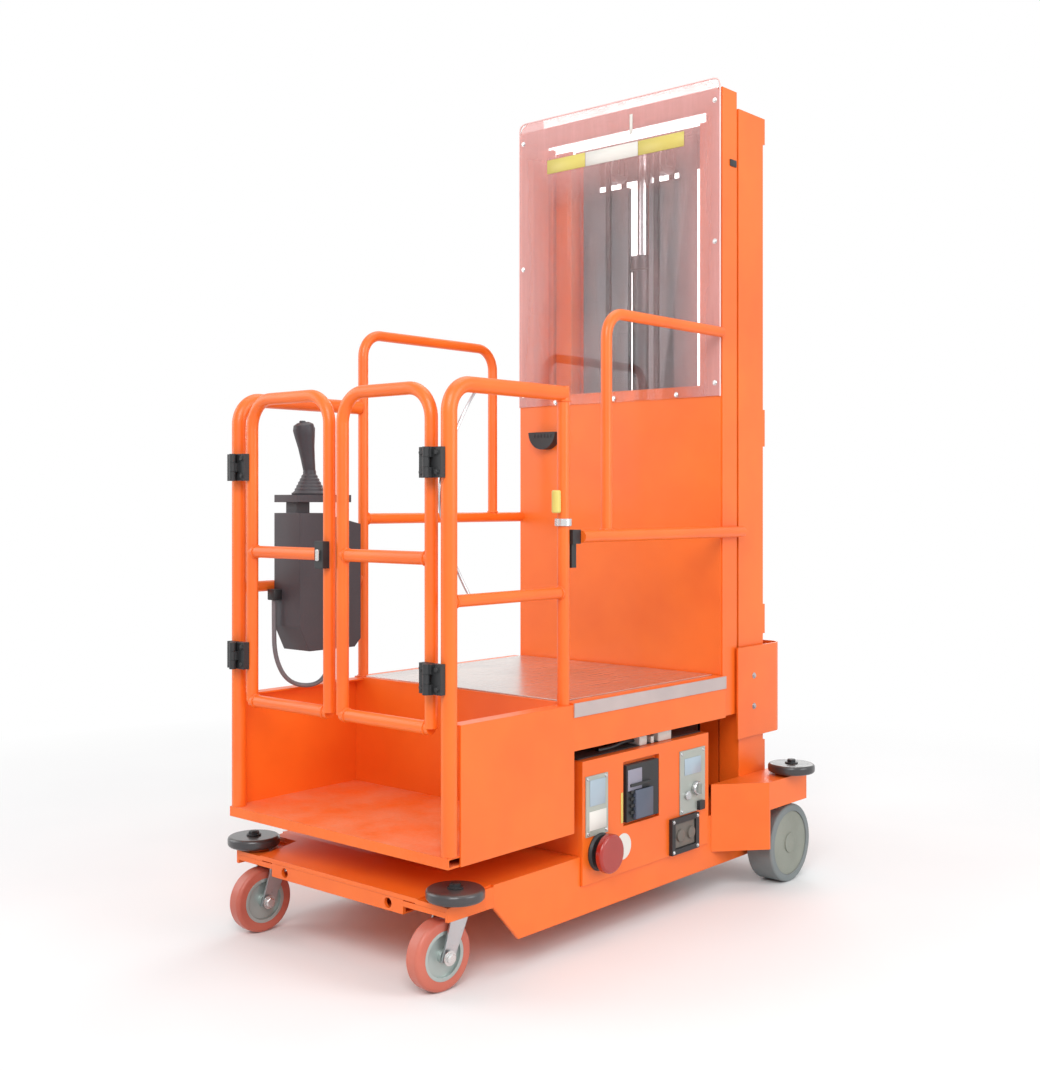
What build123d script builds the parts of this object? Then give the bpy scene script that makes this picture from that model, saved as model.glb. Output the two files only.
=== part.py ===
# Order picker truck: a small self-propelled machine whose operator stands in a
# gated basket that climbs a two-stage mast, with a cargo deck behind the basket.
# Millimetres, Z up, X to the machine's right, Y towards the mast.
# Every Y below is measured from the basket's front plane; MID_Y moves the whole
# machine so that the origin is on the floor under the middle of its outline.
from build123d import *
import os

os.makedirs("parts", exist_ok=True)

# Basket and cargo deck
HALF_W = 365.0          # half width of basket and cargo deck
SHEET = 4.0             # folded sheet panels
BASKET_BOTTOM = 270.0
FLOOR_TOP = 293.0
TOE_TOP = 560.0
RISER_Y = 400.0         # step from operator floor to cargo deck
DECK_TOP = 563.0
PLATE_HALF = 330.0      # half width of the bare plate on the cargo deck
PLATE_Z = DECK_TOP + 3  # its top
TRIM_H = 32.0
TRIM_T = 3.0
BAND_BOTTOM = 455.0     # lower edge of the band round the cargo deck
BACK_Y = 1036.0         # front face of back panel and clear guard
BACK_T = 5.0
BEAM_H = 40.0
BEAM_W = 60.0
BEAM_X = 250.0

# Guard rails
POST_D = 34.0
RAIL_D = 28.0
LOOP_D = 26.6
CROSS_D = 26.0
SEAT = 0.3              # gap between pieces that rest on each other
POST_INSET = 17.0       # post centre, in from the basket's faces
RAIL_TOP = 1261.0       # centre of the top rails
MID_RAIL_Z = 813.0
LEFT_LOOP_Y = 414.0
LEFT_LOOP_BACK_Y = 915.0
LEFT_RAIL_Z = 973.0
LOOP_TOP = 1454.0
RIGHT_LOOP_Y = 540.0
RIGHT_LOOP_X = 352.0
RIGHT_RAIL_Z = 938.0
RIGHT_LOOP_TOP = 1460.0
BEND_R = 60.0
POST_X = HALF_W - POST_INSET

# Gate leaves and their hinges
LEAF_GAP = 8.0          # from the middle to each leaf
LEAF_OUT = 311.0        # outer edge of a leaf
LEAF_BOTTOM = 535.0
LEAF_TOP = 1270.0
LEAF_MID = 900.0
LEAF_BEND = 66.0
HINGE_Z = (656.0, 1098.0)
HINGE_H = 63.0
HINGE_T = 13.0
HINGE_X = 321.0
HINGE_Y = -22.0
PIN_R = 4.0
BARREL_R = 8.0
LATCH_Z = 900.0

# Carriage, guard sheet and panels
UP_W = 50.0             # carriage upright, along X
UP_D = 70.0             # carriage upright, along Y
UP_OUT = 350.0
UP_TOP = 2104.0
PANEL_TOP = 1324.0
GUARD_HALF = 347.0
GUARD_TOP = 2128.0
GUARD_R = 45.0
GUARD_LAP = 30.0
GUARD_T = 3.0
CROSS_MEMBERS = ((918.0, 978.0), (1258.0, 1318.0))   # lower and upper edge of each
MAST_CLEAR = 9.0        # carriage uprights to the mast
CARRIAGE_GAP = 6.0

# Mast
MAST_OUT = 350.0
MAST_FLANGE = 60.0
MAST_Y0 = BACK_Y + BACK_T + UP_D + MAST_CLEAR
MAST_D = 124.0
MAST_Y1 = MAST_Y0 + MAST_D
MAST_T = 12.0
MAST_TOP = 2063.0
STAGE_CLEAR = 7.0       # stage channel to mast flange
STAGE_FLANGE = 58.0
STAGE_T = 10.0
STAGE_BOTTOM = 250.0
STAGE_TOP = MAST_TOP - 15
STAGE_INSET = 5.0       # stage channel inside the mast's depth
ROLLER_CLEAR = 5.5      # roller face to channel web
MAST_TIES = ((1168.0, 1268.0), (658.0, 738.0))       # lower and upper edge of each
CYL_R = 36.0
CYL_BORE = 27.0
CYL_TOP = STAGE_TOP - 330
ROD_R = 22.0
ROD_BOTTOM = 258.0
CYL_Y = (MAST_Y0 + MAST_Y1) / 2
SHEAVE_R = 38.0
SHEAVE_X = 84.0
SHEAVE_W = 26.0
SHEAVE_Y = CYL_Y - 24
SHEAVE_Z = STAGE_TOP - 75
SHEAVE_PIN_R = 8.0
CHAIN_T = 10.0
CHAIN_W = 16.0
CHAIN_END = 718.0       # lower end of the run in front of the sheaves

# Chassis
PLATE_TOP = 206.0
PLATE_T = 10.0
CHASSIS_HALF = 342.0
CHASSIS_FRONT = 12.0
CHASSIS_BACK = 1296.0
NOSE_Y = 150.0          # where the sloping nose meets the level deck
NOSE_TOP = 190.0
SEAT_PLATE = (262.0, 122.0, 178.0, 188.0)   # inner X, rear Y, bottom and top of a corner plate
LIP_BOTTOM = 166.0
SKIRT_T = 8.0
SKIRT_BOTTOM = 72.0
CHANNEL_HALF = 218.0
CHANNEL_Y = 12.0
CHANNEL_BOTTOM = 149.0
CHANNEL_HOLE_R = 11.0
CHANNEL_HOLE_X = 172.0
CHANNEL_HOLE_Z = 16.0   # hole centre above the channel's underside
CHANNEL_T = 8.0
CHANNEL_FOOT = 4.0
CHANNEL_DEEP = 60.0
BOX_Y0 = 445.0
BOX_Y1 = 965.0
BOX_BOTTOM = 140.0
BOX_TOP = 424.0
FACE_T = 6.0
CHEEK_BOTTOM = 158.0    # lower edge of the skirts in front of their slanted edge
SLANT_Y = 231.0         # where the slanted edge meets the skirts' lower edge
BAY = (600.0, 746.0, 249.0, 401.0)          # charger bay: rear and front Y, bottom and top
SOCKET = (789.0, 908.0, 142.0, 231.0)
SWITCH_PLATES = ((455.0, 537.0, 249.0, 388.0), (833.0, 945.0, 234.0, 393.0))
KEY_YZ = (900.0, 293.0)
STOP_YZ = (508.0, 208.0)
STOP_R = 45.0

# Wheels
DRIVE_R = 103.0
DRIVE_W = 74.0
DRIVE_OUT = 440.0
DRIVE_Y = 1236.0
DRIVE_RIM_R = 84.0
AXLE_R = 16.0
HOUSING_OUT = 452.0
HOUSING_Y0 = 986.0
HOUSING_Y1 = 1300.0
HOUSING_TOP = 286.0
HOUSING_BOTTOM = 112.0
HOUSING_T = 6.0
ARCH_GAP = 8.0
HOUSING_SLANT_Y = 1105.0    # where the slanted front plate meets the outer side
GEARBOX_OUT = 336.0
CASTER_R = 75.0
CASTER_W = 40.0
CASTER_RIM_R = 52.0
CASTER_X = 296.0
CASTER_Y = 80.0
CASTER_TRAIL = 38.0
CASTER_TURN = 265.0     # where the casters trail to, degrees from +X
FORK_T = 5.0
FORK_GAP = 6.0
CASTER_PLATE = 176.0    # underside of the plate that carries a caster
BUMPER_R = 62.0
BUMPER_H = 24.0
BUMPER_PIN_R = 8.0
BUMPER_BORE_R = 8.3
FRONT_BUMPER = (334.0, 50.0, 195.0)
REAR_BUMPER = (440.0, 1240.0, 292.0)

# Console and small fittings
CONSOLE_X = -POST_X + CROSS_D / 2 + SEAT
CONSOLE_DEEP = 96.0
CONSOLE_Y0 = 112.0
CONSOLE_Y1 = 306.0
CONSOLE_Z0 = 658.0
CONSOLE_Z1 = 990.0
HORN_Z = 1218.0         # flat top of the half-round alarm
COVER_Y1 = 1335.0
COVER_Z0 = 388.0
COVER_Z1 = 630.0
COVER_T = 5.0
COVER_GAP = 6.0
TIE_TOP = 368.0         # top of the lowest mast tie, which carries the power unit

TRAVEL = 1250.0         # how far each stage climbs
ARM_H = 300.0
REAR_POST_Y = RISER_Y - RAIL_D / 2 - SEAT
MAST_BOTTOM = PLATE_TOP
CYL_BOTTOM = PLATE_TOP
MID_Y = (DRIVE_Y + DRIVE_R + HINGE_Y - BARREL_R) / 2

SIDES = (("right", 1), ("left", -1))


def block(x0, x1, y0, y1, z0, z1):
    """A rectangular block between two corners."""
    size = Box(abs(x1 - x0), abs(y1 - y0), abs(z1 - z0))
    return Pos((x0 + x1) / 2, (y0 + y1) / 2, (z0 + z1) / 2) * size


def rod_z(x, y, z0, z1, radius):
    """An upright round bar."""
    return Pos(x, y, (z0 + z1) / 2) * Cylinder(radius, z1 - z0)


def rod_x(x0, x1, y, z, radius):
    """A round bar along X."""
    return Pos((x0 + x1) / 2, y, z) * Rot(0, 90, 0) * Cylinder(radius, abs(x1 - x0))


def rod_y(x, y0, y1, z, radius):
    """A round bar along Y."""
    return Pos(x, (y0 + y1) / 2, z) * Rot(90, 0, 0) * Cylinder(radius, abs(y1 - y0))


def bent_tube(points, diameter, bend=BEND_R):
    """A round tube that follows straight runs joined by bends."""
    start, after = Vector(*points[0]), Vector(*points[1])
    if len(points) > 2:
        path = FilletPolyline(*points, radius=bend)
    else:
        path = Line(*points)
    section = Plane(origin=start, z_dir=after - start) * Circle(diameter / 2)
    return sweep(section, path=path)


def side_plate(outline, x0, x1):
    """A plate cut to an outline of (y, z) points, between two X planes."""
    face = make_face(Polyline(*outline, close=True))
    lower = min(x0, x1)
    placed = Plane(origin=(lower, 0, 0), x_dir=(0, 1, 0), z_dir=(1, 0, 0)) * face
    return extrude(placed, abs(x1 - x0), dir=(1, 0, 0))


def prism(plan, z0, z1):
    """An upright prism over a plan of (x, y) points."""
    face = make_face(Polyline(*[(x, y, z0) for x, y in plan], close=True))
    return extrude(face, z1 - z0, dir=(0, 0, 1))


def turned(shape, x, y, angle):
    """A shape turned about the upright line at (x, y)."""
    return Pos(x, y, 0) * Rot(0, 0, angle) * Pos(-x, -y, 0) * shape


def together(pieces):
    """Several pieces in one shape."""
    whole = pieces[0]
    for piece in pieces[1:]:
        whole += piece
    return whole


def save(name, shape):
    """Write one piece, with the origin under the middle of the machine."""
    moved = Pos(0, -MID_Y, 0) * shape
    export_step(moved, f"parts/{name}.step")


def chassis():
    """The base: deck plate, front channel, deep side plates and battery box."""
    low = PLATE_TOP - PLATE_T
    front, back = CHASSIS_FRONT, CHASSIS_BACK
    profile = [(front, NOSE_TOP), (NOSE_Y, PLATE_TOP), (back, PLATE_TOP), (back, low), (NOSE_Y, low),
               (front, NOSE_TOP - PLATE_T)]
    deck = side_plate(profile, -CHASSIS_HALF, CHASSIS_HALF)
    deck -= block(-CHASSIS_HALF, CHASSIS_HALF, BOX_Y0 - 1, BOX_Y1 + 1, low - 1, PLATE_TOP + 1)
    bearer = SKIRT_BOTTOM + 20
    corner_x, corner_y, corner_low, corner_top = SEAT_PLATE
    for _, s in SIDES:
        x0, x1 = s * 200, s * 240
        deck += block(x0, x1, BOX_Y0 - 41, BOX_Y1 + 41, bearer, BOX_BOTTOM - SEAT)
        deck += block(x0, x1, BOX_Y0 - 41, BOX_Y0 - 1, bearer, low + 1)
        deck += block(x0, x1, BOX_Y1 + 1, BOX_Y1 + 41, bearer, low + 1)
        deck -= block(s * corner_x, s * (CHASSIS_HALF + 1), front - 1, corner_y, corner_low, PLATE_TOP + 1)
        deck += block(s * (corner_x - 8), s * CHASSIS_HALF, front, corner_y + 8, corner_low, corner_top)
        x, y, z = FRONT_BUMPER
        deck += rod_z(s * (x - 18), y, corner_top - 2, z - SEAT, 24)
        deck += rod_z(s * x, y, corner_top + 1, z + BUMPER_H + 4, BUMPER_PIN_R)
        deck += rod_z(s * CASTER_X, CASTER_Y, CASTER_PLATE, corner_top - 2, 43)
    save("chassis_deck", deck)

    wall, foot, low_z = CHANNEL_T, CHANNEL_FOOT, CHANNEL_BOTTOM
    y0, y1 = CHANNEL_Y, CHANNEL_Y + CHANNEL_DEEP
    top = NOSE_TOP - PLATE_T - SEAT
    bar = block(-CHANNEL_HALF, CHANNEL_HALF, y0, y0 + wall, low_z, top)
    bar += block(-CHANNEL_HALF, CHANNEL_HALF, y0, y1, low_z, low_z + foot)
    bar += block(-CHANNEL_HALF, CHANNEL_HALF, y1 - wall, y1, low_z, top + 5)
    lips = []
    for _, s in SIDES:
        bar -= rod_y(s * CHANNEL_HOLE_X, y0 - 1, y0 + wall + 1, low_z + CHANNEL_HOLE_Z, CHANNEL_HOLE_R)
        lips.append(block(s * (CHANNEL_HALF + SEAT), s * CHASSIS_HALF, y0, y0 + wall, LIP_BOTTOM, corner_low - SEAT))
    save("front_channel", together([bar] + lips))

    cheek_low, cheek_top = CHEEK_BOTTOM, SEAT_PLATE[3]
    skirt = [(NOSE_Y, cheek_low), (SLANT_Y, SKIRT_BOTTOM), (back, SKIRT_BOTTOM), (back, PLATE_TOP),
             (BOX_Y1 + 2, PLATE_TOP), (BOX_Y1 + 2, BOX_BOTTOM - 1), (BOX_Y0 - 2, BOX_BOTTOM - 1),
             (BOX_Y0 - 2, PLATE_TOP), (NOSE_Y, PLATE_TOP)]
    skirts = []
    for _, s in SIDES:
        x0, x1 = s * CHASSIS_HALF, s * (CHASSIS_HALF + SKIRT_T)
        skirts.append(side_plate(skirt, x0, x1) - rod_x(x0 - s, x1 + s, DRIVE_Y, DRIVE_R, AXLE_R + 4))
        skirts.append(block(x0, x1, front, corner_y, cheek_low, cheek_top))
        skirts.append(block(x0, x1, corner_y + SEAT, NOSE_Y - SEAT, cheek_low, PLATE_TOP - 4))
    save("side_skirts", together(skirts))

    save("battery_box", block(-CHASSIS_HALF, CHASSIS_HALF, BOX_Y0, BOX_Y1, BOX_BOTTOM, BOX_TOP))


def control_panel():
    """The service face on the right side, with what the operator reaches there."""
    x0 = CHASSIS_HALF
    x1 = x0 + SKIRT_T + FACE_T
    bay_y0, bay_y1, bay_z0, bay_z1 = BAY
    face = block(x0, x1, BOX_Y0, BOX_Y1, BOX_BOTTOM, BOX_TOP)
    face -= block(x0 + 2, x1 + 1, *BAY)
    save("control_panel", face)
    module = block(x0 + 2, x1 + 4, bay_y0 + 8, bay_y1 - 8, bay_z0 + 8, bay_z1 - 10)
    for k in range(5):
        z = bay_z0 + 26 + k * 16
        module += block(x1 + 4, x1 + 9, bay_y0 + 20, bay_y1 - 46, z, z + 7)
    save("charger_module", module)
    y, z = STOP_YZ
    head = rod_x(x1 + 24, x1 + 40, y, z, STOP_R)
    head = fillet(head.edges().filter_by(GeomType.CIRCLE).sort_by(Axis.X)[-1], 7)
    save("emergency_stop", head + rod_x(x1, x1 + 8, y, z, 36) + rod_x(x1 + 8, x1 + 24, y, z, 18))
    y0, y1, z0, z1 = SOCKET
    mid_z = (z0 + z1) / 2
    socket = block(x1, x1 + 10, *SOCKET) - block(x1 + 4, x1 + 11, y0 + 14, y1 - 14, z0 + 13, z1 - 13)
    for y in (y0 + 36, y1 - 36):
        socket += rod_x(x1 + 4, x1 + 9, y, mid_z, 12)
    save("charge_socket", socket)
    plates = together([block(x1, x1 + 3, *plate) for plate in SWITCH_PLATES])
    y, z = KEY_YZ
    plates += rod_x(x1 + 3, x1 + 14, y, z, 14) + block(x1 + 14, x1 + 26, y - 4, y + 4, z - 12, z + 12)
    save("switch_plates", plates)


def wheel_housings():
    """A cover over each drive wheel with a slanted front, open where the wheel stands."""
    x0, x1 = CHASSIS_HALF + SKIRT_T + SEAT, HOUSING_OUT
    y0, y1, slant_y = HOUSING_Y0, HOUSING_Y1, HOUSING_SLANT_Y
    skin = HOUSING_T
    rise = (slant_y - y0) / (x1 - x0)
    along = skin * (1 + rise ** 2) ** 0.5       # the slanted plate's thickness, taken along Y
    outer_plan = [(x0, y0), (x1, slant_y), (x1, y1), (x0, y1)]
    inner_plan = [(x0 - 1, y0 + along - rise), (x1 - skin, slant_y + along - rise * skin), (x1 - skin, y1 - skin),
                  (x0 - 1, y1 - skin)]
    arch = DRIVE_R * 2 + ARCH_GAP
    houses = []
    for _, s in SIDES:
        house = prism([(s * x, y) for x, y in outer_plan], HOUSING_BOTTOM, HOUSING_TOP)
        house -= prism([(s * x, y) for x, y in inner_plan], HOUSING_BOTTOM - 1, HOUSING_TOP - skin)
        house -= block(s * (x1 - skin - 1), s * (x1 + 1), slant_y + skin, y1 + 1, HOUSING_BOTTOM - 1, arch)
        house -= block(s * (x0 - 1), s * (x1 + 1), y1 - skin - 1, y1 + 1, HOUSING_BOTTOM - 1, arch)
        x, y, z = REAR_BUMPER
        house += rod_z(s * (x - 22), y, HOUSING_TOP - 1, z - SEAT, 24)
        house += rod_z(s * x, y, HOUSING_TOP - 1, z + BUMPER_H + 4, BUMPER_PIN_R)
        houses.append(house)
    save("wheel_housings", together(houses))
    low = PLATE_TOP - PLATE_T
    hub = block(-290, 290, 1010, MAST_Y0 - 2, 76, low - 6)
    for _, s in SIDES:
        hub += block(s * 289, s * GEARBOX_OUT, 1040, DRIVE_Y + 34, DRIVE_R - 24, DRIVE_R + 34)
    hub += block(-200, 200, 1040, 1080, low - 7, low)
    save("drive_unit", hub)


def wheels():
    """Drive wheels, casters and the rubber bumper rollers."""
    for name, s in SIDES:
        inner = s * (DRIVE_OUT - DRIVE_W)
        outer = s * DRIVE_OUT
        rim = rod_x(inner, outer - s * 3, DRIVE_Y, DRIVE_R, DRIVE_RIM_R)
        rim += rod_x(outer - s * 4, outer, DRIVE_Y, DRIVE_R, 26)
        rim += rod_x(s * (GEARBOX_OUT + SEAT), inner, DRIVE_Y, DRIVE_R, AXLE_R)
        save(f"drive_wheel_{name}", rim)
        tyre = rod_x(inner, outer, DRIVE_Y, DRIVE_R, DRIVE_R) - rod_x(inner, outer, DRIVE_Y, DRIVE_R, DRIVE_RIM_R)
        edges = tyre.edges().filter_by(GeomType.CIRCLE).sort_by(lambda e: e.radius)[-2:]
        save(f"drive_tyre_{name}", fillet(edges, 5))

    low = CASTER_PLATE
    for name, s in SIDES:
        px, py = s * CASTER_X, CASTER_Y
        wx = px + CASTER_TRAIL
        half = CASTER_W / 2 + FORK_GAP
        fork = rod_z(px, py, low - 8, low - SEAT, 36)
        fork += block(px - 26, px + 24, py - half - FORK_T, py + half + FORK_T, low - 13, low - 8)
        for t in (-1, 1):
            leg = make_face(Polyline((px - 26, low - 10), (px + 24, low - 10), (wx + 16, CASTER_R - 8),
                                     (wx - 14, CASTER_R - 14), close=True))
            placed = Plane(origin=(0, py + t * half, 0), x_dir=(1, 0, 0), z_dir=(0, -1, 0)) * leg
            fork += extrude(placed, FORK_T, dir=(0, t, 0))
        fork += rod_y(wx, py - half - FORK_T - 5, py + half + FORK_T + 5, CASTER_R, 6)
        save(f"caster_fork_{name}", turned(fork, px, py, CASTER_TURN))
        w = CASTER_W / 2
        rim = rod_y(wx, py - w, py + w, CASTER_R, CASTER_RIM_R)
        for t in (-1, 1):
            rim -= rod_y(wx, py + t * (w - 7), py + t * (w + 1), CASTER_R, CASTER_RIM_R - 8)
            rim += rod_y(wx, py + t * (w - 8), py + t * (w + 3), CASTER_R, 15)
        rim -= rod_y(wx, py - w - 5, py + w + 5, CASTER_R, 6.3)
        save(f"caster_wheel_{name}", turned(rim, px, py, CASTER_TURN))
        tread = rod_y(wx, py - w, py + w, CASTER_R, CASTER_R) - rod_y(wx, py - w, py + w, CASTER_R, CASTER_RIM_R)
        edges = tread.edges().filter_by(GeomType.CIRCLE).sort_by(lambda e: e.radius)[-2:]
        save(f"caster_tyre_{name}", turned(fillet(edges, 9), px, py, CASTER_TURN))

    for end, (x, y, z) in (("front", FRONT_BUMPER), ("rear", REAR_BUMPER)):
        for name, s in SIDES:
            disc = rod_z(s * x, y, z, z + BUMPER_H, BUMPER_R)
            disc = fillet(disc.edges().filter_by(GeomType.CIRCLE), 8)
            disc -= rod_z(s * x, y, z - 1, z + BUMPER_H + 1, BUMPER_BORE_R)
            save(f"bumper_{end}_{name}", disc)


def mast():
    """The fixed outer mast with its cylinder and rear cover."""
    channels = []
    for _, s in SIDES:
        web = block(s * (MAST_OUT - MAST_T), s * MAST_OUT, MAST_Y0, MAST_Y1, MAST_BOTTOM, MAST_TOP)
        for y in (MAST_Y0, MAST_Y1 - MAST_T):
            web += block(s * (MAST_OUT - MAST_FLANGE), s * MAST_OUT, y, y + MAST_T, MAST_BOTTOM, MAST_TOP)
        channels.append(web)
    save("mast_channels", together(channels))
    ties = block(-MAST_OUT, MAST_OUT, MAST_Y1, MAST_Y1 + 10, MAST_TOP - 70, MAST_TOP)
    for z0, z1 in (*MAST_TIES, (MAST_BOTTOM, TIE_TOP)):
        ties += block(-MAST_OUT, MAST_OUT, MAST_Y1, MAST_Y1 + 10, z0, z1)
    save("mast_ties", ties)
    tube = rod_z(0, CYL_Y, CYL_BOTTOM, CYL_TOP, CYL_R) - rod_z(0, CYL_Y, CYL_BOTTOM + 12, CYL_TOP + 1, CYL_BORE)
    tube += rod_z(0, CYL_Y, CYL_TOP - 40, CYL_TOP, CYL_R + 6) - rod_z(0, CYL_Y, CYL_TOP - 41, CYL_TOP + 1, CYL_BORE)
    save("lift_cylinder", tube)

    x = MAST_OUT + COVER_GAP
    z0, z1 = COVER_Z0, COVER_Z1
    y0 = MAST_Y0 - 20
    hood = block(-x - COVER_T, x + COVER_T, y0, COVER_Y1, z0, z1)
    hood -= block(-x, x, y0 - 1, COVER_Y1 - COVER_T, z0 - 1, z1 + 1)
    for _, s in SIDES:
        hood += block(s * MAST_OUT, s * x, MAST_Y0 + 40, MAST_Y0 + 80, z0 + 60, z0 + 100)
    save("rear_cover", hood)
    save("power_unit", block(-150, 150, MAST_Y1 + SEAT, COVER_Y1 - COVER_T - 2, TIE_TOP + SEAT, z1 - 30))


def stage():
    """The moving inner mast: channels, ties, rod, sheaves and chains."""
    out = MAST_OUT - MAST_FLANGE - STAGE_CLEAR
    y0, y1 = MAST_Y0 + STAGE_INSET, MAST_Y1 - STAGE_INSET
    roll_r = MAST_D / 2 - MAST_T - SEAT
    mid = (y0 + y1) / 2
    channels = []
    for _, s in SIDES:
        web = block(s * (out - STAGE_T), s * out, y0, y1, STAGE_BOTTOM, STAGE_TOP)
        for y in (y0, y1 - STAGE_T):
            web += block(s * (out - STAGE_FLANGE), s * out, y, y + STAGE_T, STAGE_BOTTOM, STAGE_TOP)
        for z in (STAGE_BOTTOM + 90, STAGE_BOTTOM + 420):
            web += rod_x(s * (out - 1), s * (MAST_OUT - MAST_T - ROLLER_CLEAR), mid, z, roll_r)
        channels.append(web)
    save("stage_channels", together(channels))
    half = out - STAGE_FLANGE
    ties = block(-half, half, y1 - 5, y1, STAGE_TOP - 90, STAGE_TOP)
    ties += block(-half, half, y0 + 20, y1, STAGE_TOP - 20, STAGE_TOP)
    ties += block(-half, half, y1 - 14, y1, STAGE_BOTTOM, STAGE_BOTTOM + 110)
    save("stage_ties", ties)
    rod = rod_z(0, CYL_Y, ROD_BOTTOM, STAGE_TOP - 20 - SEAT, ROD_R)
    save("lift_rod", rod)
    brackets = []
    for _, s in SIDES:
        half = SHEAVE_W / 2 + 2
        x0, x1 = s * (SHEAVE_X - half - 6), s * (SHEAVE_X + half + 6)
        part = rod_x(x0, x1, SHEAVE_Y, SHEAVE_Z, SHEAVE_PIN_R)
        for x in (x0, x1 - s * 6):
            part += block(x, x + s * 6, SHEAVE_Y - 14, SHEAVE_Y + 14, SHEAVE_Z - 14, STAGE_TOP - 20)
        brackets.append(part)
    save("sheave_brackets", together(brackets))
    sheaves = []
    chains = []
    for _, s in SIDES:
        x0, x1 = s * SHEAVE_X - SHEAVE_W / 2, s * SHEAVE_X + SHEAVE_W / 2
        wheel = rod_x(x0, x1, SHEAVE_Y, SHEAVE_Z, SHEAVE_R)
        wheel -= rod_x(s * SHEAVE_X - CHAIN_W / 2, s * SHEAVE_X + CHAIN_W / 2, SHEAVE_Y, SHEAVE_Z, SHEAVE_R + 1)
        wheel += rod_x(x0, x1, SHEAVE_Y, SHEAVE_Z, SHEAVE_R - 6)
        wheel -= rod_x(x0 - 1, x1 + 1, SHEAVE_Y, SHEAVE_Z, SHEAVE_PIN_R + 0.3)
        sheaves.append(wheel)
        c0, c1 = s * SHEAVE_X - CHAIN_W / 2 + 1, s * SHEAVE_X + CHAIN_W / 2 - 1
        arc = rod_x(c0, c1, SHEAVE_Y, SHEAVE_Z, SHEAVE_R + CHAIN_T - 6)
        arc -= rod_x(c0, c1, SHEAVE_Y, SHEAVE_Z, SHEAVE_R - 5.7)
        arc -= block(c0, c1, SHEAVE_Y - 60, SHEAVE_Y + 60, SHEAVE_Z - 60, SHEAVE_Z)
        band = arc
        inner, outer = SHEAVE_R - 5.7, SHEAVE_R + CHAIN_T - 6
        band += block(c0, c1, SHEAVE_Y - outer, SHEAVE_Y - inner, CHAIN_END, SHEAVE_Z)
        band += block(c0, c1, SHEAVE_Y + inner, SHEAVE_Y + outer, CYL_TOP, SHEAVE_Z)
        chains.append(band)
    save("chain_sheaves", together(sheaves))
    save("lift_chains", together(chains))


def carriage():
    """The climbing frame, its rollers, the panels and the clear guard."""
    y0 = BACK_Y + BACK_T
    y1 = y0 + UP_D
    frame = together([block(s * (UP_OUT - UP_W), s * UP_OUT, y0, y1, BAND_BOTTOM, UP_TOP) for _, s in SIDES])
    for z0, z1 in ((BAND_BOTTOM, BAND_BOTTOM + 100), *CROSS_MEMBERS, (UP_TOP - 50, UP_TOP)):
        frame += block(-UP_OUT, UP_OUT, y0, y0 + 30, z0, z1)
    save("carriage_frame", frame)
    out = MAST_OUT - MAST_FLANGE - STAGE_CLEAR
    mid = (MAST_Y0 + MAST_Y1) / 2
    roll_r = MAST_D / 2 - STAGE_INSET - STAGE_T - SEAT
    arms = []
    for _, s in SIDES:
        x_in = out - STAGE_FLANGE - CARRIAGE_GAP
        plate = block(s * (x_in - 14), s * x_in, y0 + 30, mid + 40, BAND_BOTTOM, BAND_BOTTOM + ARM_H)
        for z in (BAND_BOTTOM + 58, BAND_BOTTOM + ARM_H - 58):
            plate += rod_x(s * (x_in - 1), s * (out - STAGE_T - ROLLER_CLEAR), mid, z, roll_r)
        arms.append(plate)
    save("carriage_arms", together(arms))

    panel = block(-GUARD_HALF, GUARD_HALF, BACK_Y, BACK_Y + BACK_T, DECK_TOP, PANEL_TOP)
    save("back_panel", panel)
    sheet = block(-GUARD_HALF, GUARD_HALF, BACK_Y - SEAT - GUARD_T, BACK_Y - SEAT, PANEL_TOP - GUARD_LAP, GUARD_TOP)
    corners = sheet.edges().filter_by(Axis.Y).sort_by(Axis.Z)[-2:]
    save("guard_sheet", fillet(corners, GUARD_R))


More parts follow.
